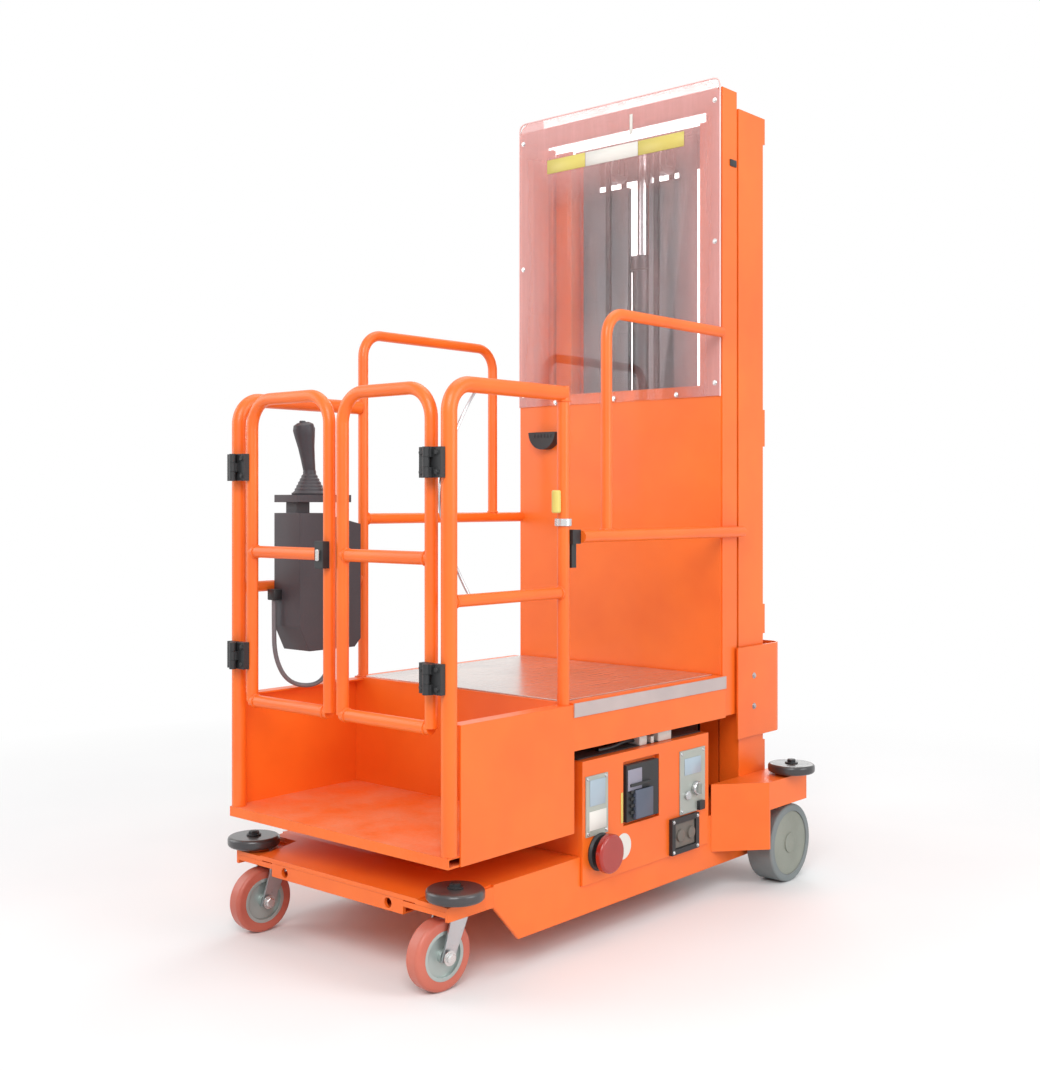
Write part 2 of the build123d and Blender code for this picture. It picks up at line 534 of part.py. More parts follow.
def basket():
    """Operator floor, toe panels and the raised cargo deck."""
    w = HALF_W
    floor = block(-w + SHEET, w - SHEET, 0, RISER_Y, BASKET_BOTTOM, BASKET_BOTTOM + 4)
    floor += block(-w + SHEET, w - SHEET, 0, RISER_Y, FLOOR_TOP - 4, FLOOR_TOP)
    for y in (0, RISER_Y / 2, RISER_Y - 4):
        floor += block(-w + SHEET, w - SHEET, y, y + 4, BASKET_BOTTOM, FLOOR_TOP)
    save("operator_floor", floor)
    toes = []
    for _, s in SIDES:
        toe = block(s * (w - SHEET), s * w, POST_D + SEAT, RISER_Y, BASKET_BOTTOM, TOE_TOP)
        toe += block(s * (w - POST_D), s * w, POST_D + SEAT, RISER_Y, TOE_TOP - SHEET, TOE_TOP)
        toes.append(toe)
    save("toe_panels", together(toes))
    deck = block(-w, w, RISER_Y, BACK_Y - 3, DECK_TOP - TRIM_H, DECK_TOP)
    deck -= block(-w + SHEET, w - SHEET, RISER_Y + SHEET, BACK_Y - 4, DECK_TOP - TRIM_H - 1, DECK_TOP - SHEET)
    for _, s in SIDES:
        deck += block(s * (w - SHEET), s * w, RISER_Y, BACK_Y - 3, BAND_BOTTOM, DECK_TOP)
        x0, x1 = s * (BEAM_X - BEAM_W / 2), s * (BEAM_X + BEAM_W / 2)
        deck += block(x0, x1, RISER_Y, BACK_Y + BACK_T, BAND_BOTTOM, BAND_BOTTOM + BEAM_H)
        deck += block(x0, x0 + s * 8, RISER_Y, BACK_Y - 3, BAND_BOTTOM, DECK_TOP - 1)
    deck += block(-w, w, RISER_Y, RISER_Y + SHEET, BASKET_BOTTOM, DECK_TOP)
    save("cargo_deck", deck)
    save("cargo_plate", block(-PLATE_HALF, PLATE_HALF, RISER_Y + 8, BACK_Y - 12, DECK_TOP + SEAT, PLATE_Z))
    strips = []
    for _, s in SIDES:
        strips.append(block(s * w, s * (w + TRIM_T), RISER_Y + 2, BACK_Y - 4, DECK_TOP - TRIM_H, DECK_TOP))
    save("deck_trim", together(strips))


def rails():
    """Tubular guard rails round the basket and the cargo deck."""
    x = POST_X
    y0 = POST_INSET
    end_y = BACK_Y - GUARD_T - 2 * SEAT
    left_y = LEFT_LOOP_Y - LOOP_D / 2 - SEAT
    right = bent_tube([(x, y0, FLOOR_TOP), (x, y0, RAIL_TOP), (x, REAR_POST_Y, RAIL_TOP)], POST_D)
    right += bent_tube([(x, REAR_POST_Y, TOE_TOP), (x, REAR_POST_Y, RAIL_TOP + POST_D / 2 - 1)], RAIL_D)
    right += bent_tube([(x, y0, MID_RAIL_Z), (x, REAR_POST_Y, MID_RAIL_Z)], CROSS_D)
    save("side_frame_right", right)
    left = bent_tube([(-x, y0, FLOOR_TOP), (-x, y0, RAIL_TOP), (-x, left_y, RAIL_TOP)], POST_D)
    left += bent_tube([(-x, y0, MID_RAIL_Z), (-x, left_y, MID_RAIL_Z)], CROSS_D)
    save("side_frame_left", left)
    loop = [(-x, LEFT_LOOP_Y, DECK_TOP), (-x, LEFT_LOOP_Y, LOOP_TOP),
            (-x, LEFT_LOOP_BACK_Y, LOOP_TOP), (-x, LEFT_LOOP_BACK_Y, LEFT_RAIL_Z)]
    side = bent_tube(loop, LOOP_D)
    side += bent_tube([(-x, LEFT_LOOP_Y, LEFT_RAIL_Z), (-x, BACK_Y - SEAT, LEFT_RAIL_Z)], RAIL_D)
    save("deck_rail_left", side)
    xr = UP_OUT + RAIL_D / 2 + SEAT
    bar = bent_tube([(xr, REAR_POST_Y + 44, RIGHT_RAIL_Z), (xr, MAST_Y0 - 4, RIGHT_RAIL_Z)], RAIL_D)
    loop = [(RIGHT_LOOP_X, RIGHT_LOOP_Y, RIGHT_RAIL_Z), (RIGHT_LOOP_X, RIGHT_LOOP_Y, RIGHT_LOOP_TOP),
            (RIGHT_LOOP_X, end_y, RIGHT_LOOP_TOP)]
    bar += bent_tube(loop, LOOP_D)
    save("deck_rail_right", bar)
    clamp = block(POST_X - 20, xr, REAR_POST_Y + RAIL_D / 2 + SEAT, REAR_POST_Y + 43, RIGHT_RAIL_Z - 16,
                  RIGHT_RAIL_Z + 16)
    clamp += block(POST_X - 26, POST_X + 10, REAR_POST_Y + 18, REAR_POST_Y + 34, RIGHT_RAIL_Z - 70, RIGHT_RAIL_Z - 15)
    save("rail_clamp", clamp)


def gates():
    """Two leaves that close the front of the basket."""
    r = RAIL_D / 2
    y = POST_INSET
    for name, s in SIDES:
        x0, x1 = s * (LEAF_GAP + r), s * (LEAF_OUT - r)
        hoop = [(x0, y, LEAF_BOTTOM + r), (x0, y, LEAF_TOP - r), (x1, y, LEAF_TOP - r), (x1, y, LEAF_BOTTOM + r)]
        leaf = bent_tube(hoop, RAIL_D, LEAF_BEND)
        leaf += bent_tube([(x0, y, LEAF_BOTTOM + r), (x1, y, LEAF_BOTTOM + r)], RAIL_D)
        leaf += bent_tube([(x0, y, LEAF_MID), (x1, y, LEAF_MID)], RAIL_D)
        save(f"gate_leaf_{name}", leaf)
        pads = []
        for z in HINGE_Z:
            part = block(s * (LEAF_OUT - 20), s * (HINGE_X - 3), -HINGE_T, y - r - SEAT, z - HINGE_H / 2,
                         z + HINGE_H / 2)
            part += rod_z(s * HINGE_X, HINGE_Y, z - 10, z + 10, BARREL_R)
            part += block(s * (HINGE_X - 12), s * HINGE_X, HINGE_Y, -HINGE_T + 1, z - 10, z + 10)
            part -= rod_z(s * HINGE_X, HINGE_Y, z - 40, z + 40, PIN_R + 0.1)
            pads.append(part)
        save(f"leaf_hinges_{name}", together(pads))
    hinges = []
    for _, s in SIDES:
        for z in HINGE_Z:
            part = block(s * (HINGE_X + 3), s * (POST_X + 6), -HINGE_T, -SEAT, z - HINGE_H / 2, z + HINGE_H / 2)
            for z0, z1 in ((z - HINGE_H / 2, z - 10.5), (z + 10.5, z + HINGE_H / 2)):
                part += rod_z(s * HINGE_X, HINGE_Y, z0, z1, BARREL_R)
                part += block(s * HINGE_X, s * (HINGE_X + 12), HINGE_Y, -HINGE_T + 1, z0, z1)
            part += rod_z(s * HINGE_X, HINGE_Y, z - HINGE_H / 2, z + HINGE_H / 2, PIN_R)
            hinges.append(part)
    save("post_hinges", together(hinges))
    latch = block(-LEAF_GAP - 26, -LEAF_GAP + 2, -16, y - r - SEAT, LATCH_Z - 30, LATCH_Z + 30)
    save("gate_latch", latch)


def console():
    """The operator's control console on the left rail."""
    x0, x1 = CONSOLE_X, CONSOLE_X + CONSOLE_DEEP
    top, low = CONSOLE_Z1, CONSOLE_Z0
    outline = [(CONSOLE_Y0 + 30, low), (CONSOLE_Y0, low + 60), (CONSOLE_Y0, top), (CONSOLE_Y0 + 70, top),
               (CONSOLE_Y1, top - 28),
               (CONSOLE_Y1, low + 20), (CONSOLE_Y1 - 20, low)]
    body = side_plate(outline, x0, x1)
    tray = block(x0, x1 - 6, CONSOLE_Y0, CONSOLE_Y0 + 168, top + 26, top + 44)
    tray += block(x0 + 20, x0 + 60, CONSOLE_Y0 + 20, CONSOLE_Y0 + 60, top - 1, top + 27)
    save("console_housing", body + tray)
    cx, cy = (x0 + x1) / 2, CONSOLE_Y0 + 70
    boot = Pos(cx, cy, top + 44 + SEAT + 30) * Cone(44, 16, 60)
    stick = boot + rod_z(cx, cy, top + 100, top + 190, 13)
    stick += Pos(cx, cy, top + 196) * Sphere(24)
    save("joystick", stick)


def small_fittings():
    """Alarm on the back panel."""
    horn = rod_y(-242, BACK_Y - 28, BACK_Y - SEAT, HORN_Z, 50) - block(-300, -180, BACK_Y - 40, BACK_Y, HORN_Z, HORN_Z + 60)
    save("alarm_horn", horn)


chassis()
control_panel()
wheel_housings()
wheels()
mast()
stage()
carriage()
basket()
rails()
gates()
console()
small_fittings()
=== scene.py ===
# %% [markdown]
# Order picker truck: the looks
#
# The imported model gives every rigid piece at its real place, in metres. This file dresses it. It paints
# each piece, adds the small things that a solid model leaves out, and sets up the floor, the light and
# the camera.

# %% Load the frame
from math import cos, pi, radians, sin

import bmesh
import bpy
from mathutils import Matrix, Vector


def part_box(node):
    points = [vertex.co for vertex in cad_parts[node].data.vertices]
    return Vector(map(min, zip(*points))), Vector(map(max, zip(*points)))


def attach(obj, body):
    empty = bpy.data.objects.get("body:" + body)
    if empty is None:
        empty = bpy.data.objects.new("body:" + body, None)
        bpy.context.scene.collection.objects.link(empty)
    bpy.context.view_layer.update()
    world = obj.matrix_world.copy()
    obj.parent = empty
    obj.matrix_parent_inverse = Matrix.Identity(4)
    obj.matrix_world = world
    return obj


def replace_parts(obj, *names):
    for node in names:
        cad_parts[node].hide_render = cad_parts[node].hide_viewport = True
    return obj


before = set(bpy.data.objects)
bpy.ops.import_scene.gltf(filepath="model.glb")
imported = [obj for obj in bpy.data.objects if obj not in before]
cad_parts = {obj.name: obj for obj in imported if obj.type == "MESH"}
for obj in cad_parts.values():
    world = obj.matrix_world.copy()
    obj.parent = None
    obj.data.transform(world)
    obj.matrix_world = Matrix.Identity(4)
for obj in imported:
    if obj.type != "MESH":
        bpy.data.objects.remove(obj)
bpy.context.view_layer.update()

# %% [markdown]
# The camera comes first, because everything else is judged through it. It stands in front of the truck
# and to its right, a metre above the floor. Tilting it up would catch the top of the mast too, but
# upright edges would then lean. So it looks level, and a small vertical shift brings the whole truck into
# the picture.

# %% Camera
CAMERA_PLACE = (2.258, -2.6065, 1.018)
CAMERA_HEADING = 41.1
CAMERA_LENS = 45.13
CAMERA_SENSOR = 36
CAMERA_SHIFT = -0.0314

camera_data = bpy.data.cameras.new("camera")
camera_data.lens = CAMERA_LENS
camera_data.sensor_width = CAMERA_SENSOR
camera_data.shift_y = CAMERA_SHIFT
camera = bpy.data.objects.new("camera", camera_data)
camera.location = CAMERA_PLACE
camera.rotation_euler = (pi / 2, 0, radians(CAMERA_HEADING))
bpy.context.scene.collection.objects.link(camera)
bpy.context.scene.camera = camera
bpy.context.scene.view_settings.view_transform = "Standard"
print("camera at", CAMERA_PLACE)

# %% [markdown]
# Colours are easier to choose the way a paint chart gives them, as screen values from 0 to 255. Blender's
# shaders want linear light. They could be turned by hand, but one small function does it the same way for
# all.


# %% Colours
def linear(red, green, blue):
    """A screen colour, each part from 0 to 255, as the linear colour that a shader wants."""
    parts = [part / 255 for part in (red, green, blue)]
    parts = [p / 12.92 if p <= 0.04045 else ((p + 0.055) / 1.055) ** 2.4 for p in parts]
    return (*parts, 1.0)


ORANGE = (247, 115, 30)
ORANGE_DEEP = (235, 101, 24)
PRIMER = (120, 70, 50)
DUST = linear(205, 190, 175)
print("orange paint is", [round(part, 3) for part in linear(*ORANGE)[:3]])

# %% [markdown]
# Materials and Geometry Nodes are both trees of nodes. They can be clicked together in the editor. Built
# by these few helpers instead, a long tree reads almost like a formula, and every number in it can be
# found again.


# %% Helpers for node trees
def feed(tree, socket, value):
    """Fills a socket from another node's output, or with a plain number or colour."""
    if isinstance(value, bpy.types.NodeSocket):
        tree.links.new(value, socket)
    else:
        socket.default_value = value


def maths(tree, operation, first, second):
    """A Math node whose two inputs are each a number or a socket."""
    node = tree.nodes.new("ShaderNodeMath")
    node.operation = operation
    feed(tree, node.inputs[0], first)
    feed(tree, node.inputs[1], second)
    return node.outputs[0]


def noise(tree, scale, detail=2.0, roughness=0.5, stretch=None):
    """Noise on the piece's own coordinates. Scale is in cycles a metre; stretch sets each axis apart."""
    place = tree.nodes.new("ShaderNodeTexCoord").outputs["Object"]
    if stretch:
        mapping = tree.nodes.new("ShaderNodeMapping")
        mapping.inputs["Scale"].default_value = stretch
        tree.links.new(place, mapping.inputs["Vector"])
        place = mapping.outputs["Vector"]
    node = tree.nodes.new("ShaderNodeTexNoise")
    node.inputs["Detail"].default_value = detail
    node.inputs["Roughness"].default_value = roughness
    tree.links.new(place, node.inputs["Vector"])
    feed(tree, node.inputs["Scale"], scale)
    return node.outputs["Fac"]


def window(tree, value, low, high):
    """Stretches the part of a value between low and high to 0 to 1, and clips the rest."""
    node = tree.nodes.new("ShaderNodeMapRange")
    node.inputs["From Min"].default_value = low
    node.inputs["From Max"].default_value = high
    tree.links.new(value, node.inputs["Value"])
    return node.outputs["Result"]


def blend_colour(tree, share, first, second):
    """A Mix node for colours. First and second are colours or sockets, and share is a socket."""
    node = tree.nodes.new("ShaderNodeMix")
    node.data_type = "RGBA"
    tree.links.new(share, node.inputs["Factor"])
    feed(tree, node.inputs[6], first)
    feed(tree, node.inputs[7], second)
    return node.outputs[2]


print("node helpers ready")

# %% [markdown]
# Three effects turn up in almost every finish here: edges rubbed thin, a fine grain, and dust that
# settles on faces that look up. Each could be rebuilt inside every material, but then a change would have
# to be made twenty times. So each is a shader node group, built once. A group gives out only masks and
# normals, and each material mixes them in with its own numbers.
#
# The first one is for edges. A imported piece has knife-sharp corners, and no pressed or welded steel has.
# The Bevel node rounds them in the light only. Where the rounded normal leaves the flat one there is a
# corner, and noise breaks that line up into patches of wear.


# %% Soft and worn edges
def group_tree(name, inputs, outputs):
    """An empty shader group with named number inputs, and outputs as (name, socket type)."""
    tree = bpy.data.node_groups.new(name, "ShaderNodeTree")
    for label, value in inputs:
        socket = tree.interface.new_socket(label, in_out="INPUT", socket_type="NodeSocketFloat")
        socket.default_value = value
    for label, kind in outputs:
        tree.interface.new_socket(label, in_out="OUTPUT", socket_type=kind)
    start = tree.nodes.new("NodeGroupInput")
    end = tree.nodes.new("NodeGroupOutput")
    return tree, start, end


def build_soft_edges():
    """Rounds hard edges in the light only, and marks where they are."""
    tree, start, end = group_tree(
        "soft_edges",
        [("Radius", 0.0015), ("Wear", 0.5)],
        [("Normal", "NodeSocketVector"), ("Edge", "NodeSocketFloat")],
    )
    bevel = tree.nodes.new("ShaderNodeBevel")
    bevel.samples = 4
    tree.links.new(start.outputs["Radius"], bevel.inputs["Radius"])
    flat = tree.nodes.new("ShaderNodeNewGeometry").outputs["Normal"]
    product = tree.nodes.new("ShaderNodeVectorMath")
    product.operation = "DOT_PRODUCT"
    tree.links.new(bevel.outputs["Normal"], product.inputs[0])
    tree.links.new(flat, product.inputs[1])
    corner = window(tree, maths(tree, "SUBTRACT", 1.0, product.outputs["Value"]), 0.05, 0.35)
    patchy = window(tree, noise(tree, 38.0, 4.0, 0.65), 0.52, 0.62)
    edge = maths(tree, "MULTIPLY", maths(tree, "MULTIPLY", corner, patchy), start.outputs["Wear"])
    tree.links.new(bevel.outputs["Normal"], end.inputs["Normal"])
    tree.links.new(edge, end.inputs["Edge"])
    return tree


SOFT_EDGES = build_soft_edges()
print("edge group has", len(SOFT_EDGES.nodes), "nodes")

# %% [markdown]
# Sprayed paint, cast rubber and moulded plastic are never quite even. A photograph of a surface could
# show it, but noise fits any shape without seams. Two noises are enough: a fine one for the skin, and a
# slow one for the drift of the colour over half a metre.


# %% Grain
def build_grain():
    """A fine even grain and a slow unevenness."""
    tree, start, end = group_tree(
        "grain",
        [("Scale", 300.0)],
        [("Fine", "NodeSocketFloat"), ("Slow", "NodeSocketFloat")],
    )
    tree.links.new(noise(tree, start.outputs["Scale"], 3.0, 0.55), end.inputs["Fine"])
    tree.links.new(noise(tree, 3.5, 3.0, 0.6), end.inputs["Slow"])
    return tree


GRAIN = build_grain()
print("grain group has", len(GRAIN.nodes), "nodes")

# %% [markdown]
# Dust lies where it can rest. It could be painted on each piece by hand. The surface's normal tells the
# same thing for all of them at once: the more a face looks up, the more dust it holds. Noise breaks the
# layer up, and a few specks stick to every face.


# %% Settled dust
SPECKS = 0.08


def build_settled_dust():
    """Dust on faces that look up, broken up by noise, and a few specks on all."""
    tree, start, end = group_tree("settled_dust", [("Amount", 0.5)], [("Mask", "NodeSocketFloat")])
    split = tree.nodes.new("ShaderNodeSeparateXYZ")
    tree.links.new(tree.nodes.new("ShaderNodeNewGeometry").outputs["Normal"], split.inputs[0])
    upward = window(tree, split.outputs["Z"], 0.5, 1.0)
    clouds = window(tree, noise(tree, 7.0, 6.0, 0.7), 0.35, 0.75)
    specks = window(tree, noise(tree, 160.0, 2.0, 0.5), 0.5, 0.7)
    layer = maths(tree, "MULTIPLY", upward, clouds)
    layer = maths(tree, "ADD", layer, maths(tree, "MULTIPLY", specks, SPECKS))
    tree.links.new(maths(tree, "MULTIPLY", layer, start.outputs["Amount"]), end.inputs["Mask"])
    return tree


SETTLED_DUST = build_settled_dust()
print("dust group has", len(SETTLED_DUST.nodes), "nodes")

# %% [markdown]
# Each finish starts from the same few lines: a Principled shader, the three effects and a bump. A finish
# then differs in colour, gloss and how much of each effect it takes. Steady numbers are set on the
# shader's own sockets, so that they survive when the model leaves Blender.


# %% A finish with soft edges, grain and dust
RELIEF_DEPTH = 0.0004
LACQUER_ROUGHNESS = 0.12


def group_node(tree, group, **values):
    """A node that places a shader group, with its inputs filled."""
    node = tree.nodes.new("ShaderNodeGroup")
    node.node_tree = group
    for key, value in values.items():
        node.inputs[key].default_value = value
    return node


def finish(name, colour, deep, rough=0.4, metal=0.0, grain=300.0, bump=0.15, edge=0.0015, wear=0.0,
           bare=PRIMER, dust=0.0, coat=0.0, streaks=None, spread=0.12):
    """A material whose colour drifts from deep to colour, with grain, soft worn edges and settled dust."""
    material = bpy.data.materials.new(name)
    material.use_nodes = True
    tree = material.node_tree
    shader = tree.nodes["Principled BSDF"]
    shader.inputs["Metallic"].default_value = metal
    shader.inputs["Coat Weight"].default_value = coat
    shader.inputs["Coat Roughness"].default_value = LACQUER_ROUGHNESS
    edges = group_node(tree, SOFT_EDGES, Radius=edge, Wear=wear)
    texture = group_node(tree, GRAIN, Scale=grain)
    fine = texture.outputs["Fine"]
    if streaks:
        fine = noise(tree, 1.0, 4.0, 0.6, stretch=streaks)
    uneven = window(tree, texture.outputs["Slow"], 0.3, 0.7)
    shade = blend_colour(tree, uneven, linear(*deep), linear(*colour))
    shade = blend_colour(tree, edges.outputs["Edge"], shade, linear(*bare))
    if dust:
        film = group_node(tree, SETTLED_DUST, Amount=dust)
        shade = blend_colour(tree, film.outputs["Mask"], shade, DUST)
    tree.links.new(shade, shader.inputs["Base Color"])
    gloss = maths(tree, "ADD", maths(tree, "MULTIPLY", fine, spread), rough - spread / 2)
    tree.links.new(gloss, shader.inputs["Roughness"])
    relief = tree.nodes.new("ShaderNodeBump")
    relief.inputs["Strength"].default_value = bump
    relief.inputs["Distance"].default_value = RELIEF_DEPTH
    tree.links.new(fine, relief.inputs["Height"])
    tree.links.new(edges.outputs["Normal"], relief.inputs["Normal"])
    tree.links.new(relief.outputs["Normal"], shader.inputs["Normal"])
    return material


print("finish helper ready")

# %% [markdown]
# The truck wears one paint, an orange powder coat: even, a little glossy, with a fine orange-peel skin
# and some rubbed corners. One plain orange would look like a toy, so the paint drifts a little between
# two oranges. The operator's floor has the same paint, scuffed by shoes.

# %% Orange paint
powder_coat = finish("powder_coat", ORANGE, ORANGE_DEEP, rough=0.4, grain=520, bump=0.1, wear=0.25,
                     dust=0.04, coat=0.12)
scuffed_coat = finish("scuffed_coat", ORANGE, ORANGE_DEEP, rough=0.48, grain=90, bump=0.12, wear=0.5,
                      dust=0.3, spread=0.3)
print("paint:", powder_coat.name, "and", scuffed_coat.name)

# %% [markdown]
# Bare and plated metal differs less in colour than in gloss and in the direction of its marks. A rolled
# plate has streaks along the rolling, a rod and a cylinder have them along their stroke. Noise stretched
# along one axis gives such streaks without any picture.

# %% Metals
rolled_plate = finish("rolled_plate", (226, 214, 208), (198, 190, 186), rough=0.26, metal=0.9, bump=0.06,
                      streaks=(900, 8, 900), spread=0.2, dust=0.12)
zinc_plate = finish("zinc_plate", (206, 208, 210), (170, 172, 176), rough=0.32, metal=1.0, grain=160,
                    bump=0.08, spread=0.25)
bright_screw = finish("bright_screw", (226, 226, 224), (190, 192, 194), rough=0.25, metal=0.9, bump=0.03,
                      edge=0.0005)
polished_rod = finish("polished_rod", (196, 198, 200), (178, 180, 184), rough=0.16, metal=1.0, bump=0.03,
                      streaks=(60, 60, 900), spread=0.08)
mast_grey = finish("mast_grey", (132, 138, 142), (108, 114, 118), rough=0.46, metal=0.3, bump=0.05,
                   streaks=(500, 500, 6), spread=0.2, dust=0.05)
cylinder_grey = finish("cylinder_grey", (74, 78, 82), (52, 56, 60), rough=0.3, metal=0.6, bump=0.04,
                       streaks=(400, 400, 5), spread=0.12)
pale_plate = finish("pale_plate", (190, 192, 178), (166, 172, 166), rough=0.4, metal=0.35, grain=400,
                    bump=0.05, dust=0.1)
trim_grey = finish("trim_grey", (204, 186, 182), (182, 168, 166), rough=0.42, metal=0.4, bump=0.08,
                   streaks=(8, 900, 900), spread=0.2)
dark_steel = finish("dark_steel", (52, 53, 56), (38, 39, 42), rough=0.45, metal=0.35, grain=220, bump=0.12,
                    wear=0.2, bare=(110, 108, 104), dust=0.06)
print("materials, with those that came with the frame:", len(bpy.data.materials))

# %% [markdown]
# Rubber and plastic are told apart by gloss and grain: worn bumpers shine, tyres are dull, and moulded
# cases have a fine leather-like skin. Their edges get a larger soft radius than steel, because moulds
# round them.

# %% Rubber, plastic and wheels
black_rubber = finish("black_rubber", (62, 60, 62), (42, 41, 43), rough=0.3, grain=420, bump=0.16,
                      edge=0.003, dust=0.12, coat=0.35)
black_plastic = finish("black_plastic", (40, 41, 43), (32, 33, 35), rough=0.5, grain=700, bump=0.2,
                       dust=0.06)
console_plastic = finish("console_plastic", (68, 65, 70), (54, 52, 58), rough=0.5, grain=520, bump=0.22,
                         edge=0.003, dust=0.08)
grey_lead = finish("grey_lead", (120, 120, 124), (96, 96, 100), rough=0.5, grain=600, bump=0.1)
red_urethane = finish("red_urethane", (206, 112, 92), (176, 84, 68), rough=0.36, grain=200, bump=0.1,
                      edge=0.002, dust=0.25, spread=0.25)
hub_grey = finish("hub_grey", (154, 158, 148), (128, 132, 122), rough=0.5, metal=0.2, grain=120, bump=0.16,
                  edge=0.002, dust=0.2, spread=0.25)
caster_hub = finish("caster_hub", (182, 192, 188), (156, 168, 166), rough=0.34, metal=0.5, grain=120,
                    bump=0.08, edge=0.002, dust=0.15)
grey_tread = finish("grey_tread", (132, 138, 138), (108, 116, 118), rough=0.66, grain=330, bump=0.3,
                    edge=0.003, dust=0.3, spread=0.25)
stop_red = finish("stop_red", (178, 48, 38), (136, 34, 28), rough=0.25, grain=500, bump=0.05, coat=0.4)
print("materials, with those that came with the frame:", len(bpy.data.materials))

# %% [markdown]
# The last finishes are for blank signs, the charger's module and other small things on the service face,
# and a pale pink one for the guard's polished edge, which paints the light that the edge catches. They are
# nearly flat colours, because such pieces are small and printed.

# %% Signs and small parts
plain_white = finish("plain_white", (236, 232, 224), (214, 212, 206), rough=0.4, bump=0.03, dust=0.1)
sky_label = finish("sky_label", (178, 196, 208), (160, 176, 188), rough=0.35, bump=0.03)
yellow_label = finish("yellow_label", (220, 206, 112), (206, 186, 96), rough=0.4, bump=0.03)
mauve_label = finish("mauve_label", (150, 146, 160), (132, 130, 146), rough=0.4, bump=0.03)
module_blue = finish("module_blue", (96, 104, 122), (74, 82, 98), rough=0.4, grain=600, bump=0.1)
socket_grey = finish("socket_grey", (122, 114, 104), (98, 92, 86), rough=0.5, grain=500, bump=0.1)
# painted highlight: a pale pink colour that stands for the light caught by the guard's polished edges
painted_edge_highlight = finish("painted_edge_highlight", (238, 196, 192), (226, 180, 176), rough=0.35, bump=0.02, coat=0.3)
print("materials, with those that came with the frame:", len(bpy.data.materials))

# %% [markdown]
# The guard in front of the mast is a clear sheet. It could be a see-through mix of two shaders, which
# renders fast but bends no light. Glass here is the Principled shader with full transmission and a faint
# warm tint. A little roughness from fine scratches keeps it from looking like nothing at all.


# %% Clear sheet
def make_clear_sheet():
    """Glass with streaky scratches in its gloss."""
    material = bpy.data.materials.new("clear_sheet")
    material.use_nodes = True
    tree = material.node_tree
    shader = tree.nodes["Principled BSDF"]
    shader.inputs["Base Color"].default_value = linear(252, 246, 246)
    shader.inputs["Transmission Weight"].default_value = 1.0
    shader.inputs["IOR"].default_value = 1.3
    scratches = window(tree, noise(tree, 1.0, 5.0, 0.6, stretch=(18, 18, 260)), 0.55, 0.8)
    tree.links.new(maths(tree, "MULTIPLY", scratches, 0.16), shader.inputs["Roughness"])
    return material


clear_sheet = make_clear_sheet()
print("clear sheet made")

# %% [markdown]
# The frame's pieces keep their shapes, and only their material slots change. Each could be painted on a
# line of its own. A table from finish to pieces is shorter and says which is which, and the print shows
# any piece that was forgotten.

# %% Paint the frame's pieces
WEARS = [
    # finish, the pieces that wear it
    (powder_coat, "back_panel battery_box carriage_frame cargo_deck chassis_deck control_panel front_channel"
                  " deck_rail_left deck_rail_right gate_leaf_left gate_leaf_right mast_channels rear_cover"
                  " side_frame_left side_frame_right side_skirts stage_channels mast_ties toe_panels"
                  " wheel_housings"),
    (scuffed_coat, "operator_floor"),
    (mast_grey, "stage_ties"),
    (rolled_plate, "cargo_plate"),
    (trim_grey, "deck_trim"),
    (pale_plate, "switch_plates"),
    (dark_steel, "carriage_arms sheave_brackets lift_chains drive_unit power_unit"),
    (zinc_plate, "caster_fork_left caster_fork_right chain_sheaves"),
    (polished_rod, "lift_rod"),
    (black_plastic, "alarm_horn charge_socket charger_module gate_latch leaf_hinges_left leaf_hinges_right"
                    " post_hinges rail_clamp"),
    (cylinder_grey, "lift_cylinder"),
    (console_plastic, "console_housing joystick"),
    (black_rubber, "bumper_front_left bumper_front_right bumper_rear_left bumper_rear_right"),
    (red_urethane, "caster_tyre_left caster_tyre_right"),
    (caster_hub, "caster_wheel_left caster_wheel_right"),
    (hub_grey, "drive_wheel_left drive_wheel_right"),
    (grey_tread, "drive_tyre_left drive_tyre_right"),
    (stop_red, "emergency_stop"),
    (clear_sheet, "guard_sheet"),
]

painted = set()
for material, names in WEARS:
    for name in names.split():
        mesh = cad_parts[name].data
        mesh.materials.clear()
        mesh.materials.append(material)
        painted.add(name)
forgotten = sorted(set(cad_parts) - painted)
print("painted", len(painted), "pieces, forgotten:", forgotten)

# %% [markdown]
# From here on the scene adds what the solid model leaves out. Places could be written in frame metres.
# They are easier to check as on a drawing, in millimetres from the basket's front plane, the middle of
# the truck and the floor. One function turns them into the frame's metres, and another reads a packed
# piece's box back into drawing millimetres, so that the drawing and the frame can't drift apart.

# %% Places
FRONT_PLANE = Vector(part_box("operator_floor")[0]).y


def at(x, y, z):
    """A place on the drawing, in millimetres, as a place in the frame."""
    return Vector((x / 1000, y / 1000 + FRONT_PLANE, z / 1000))


def drawn(name):
    """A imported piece's lowest and highest corner on the drawing, to a tenth of a millimetre."""
    corners = []
    for x, y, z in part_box(name):
        corners.append([round(value * 1000, 1) for value in (x, y - FRONT_PLANE, z)])
    return corners


print("basket front at y =", round(FRONT_PLANE, 4))

# %% [markdown]
# Small pieces are made three ways. The first two are a block with rounded edges and a turned shape. Both
# could come from Blender's own cube and cylinder, but a real edge is never sharp, and a knob is seldom a
# plain cylinder. So the block gets a small bevel, and the turned shape follows a profile as on a lathe.


# %% Blocks and turned shapes
def soft_block(low, high, radius=0.0015):
    """A block between two corners, its edges rounded."""
    shape = bmesh.new()
    bmesh.ops.create_cube(shape, size=1)
    low, high = Vector(low), Vector(high)
    bmesh.ops.scale(shape, vec=high - low, verts=shape.verts)
    bmesh.ops.translate(shape, vec=(low + high) / 2, verts=shape.verts)
    bmesh.ops.bevel(shape, geom=shape.edges, offset=radius, segments=2, profile=0.5, affect="EDGES")
    return shape


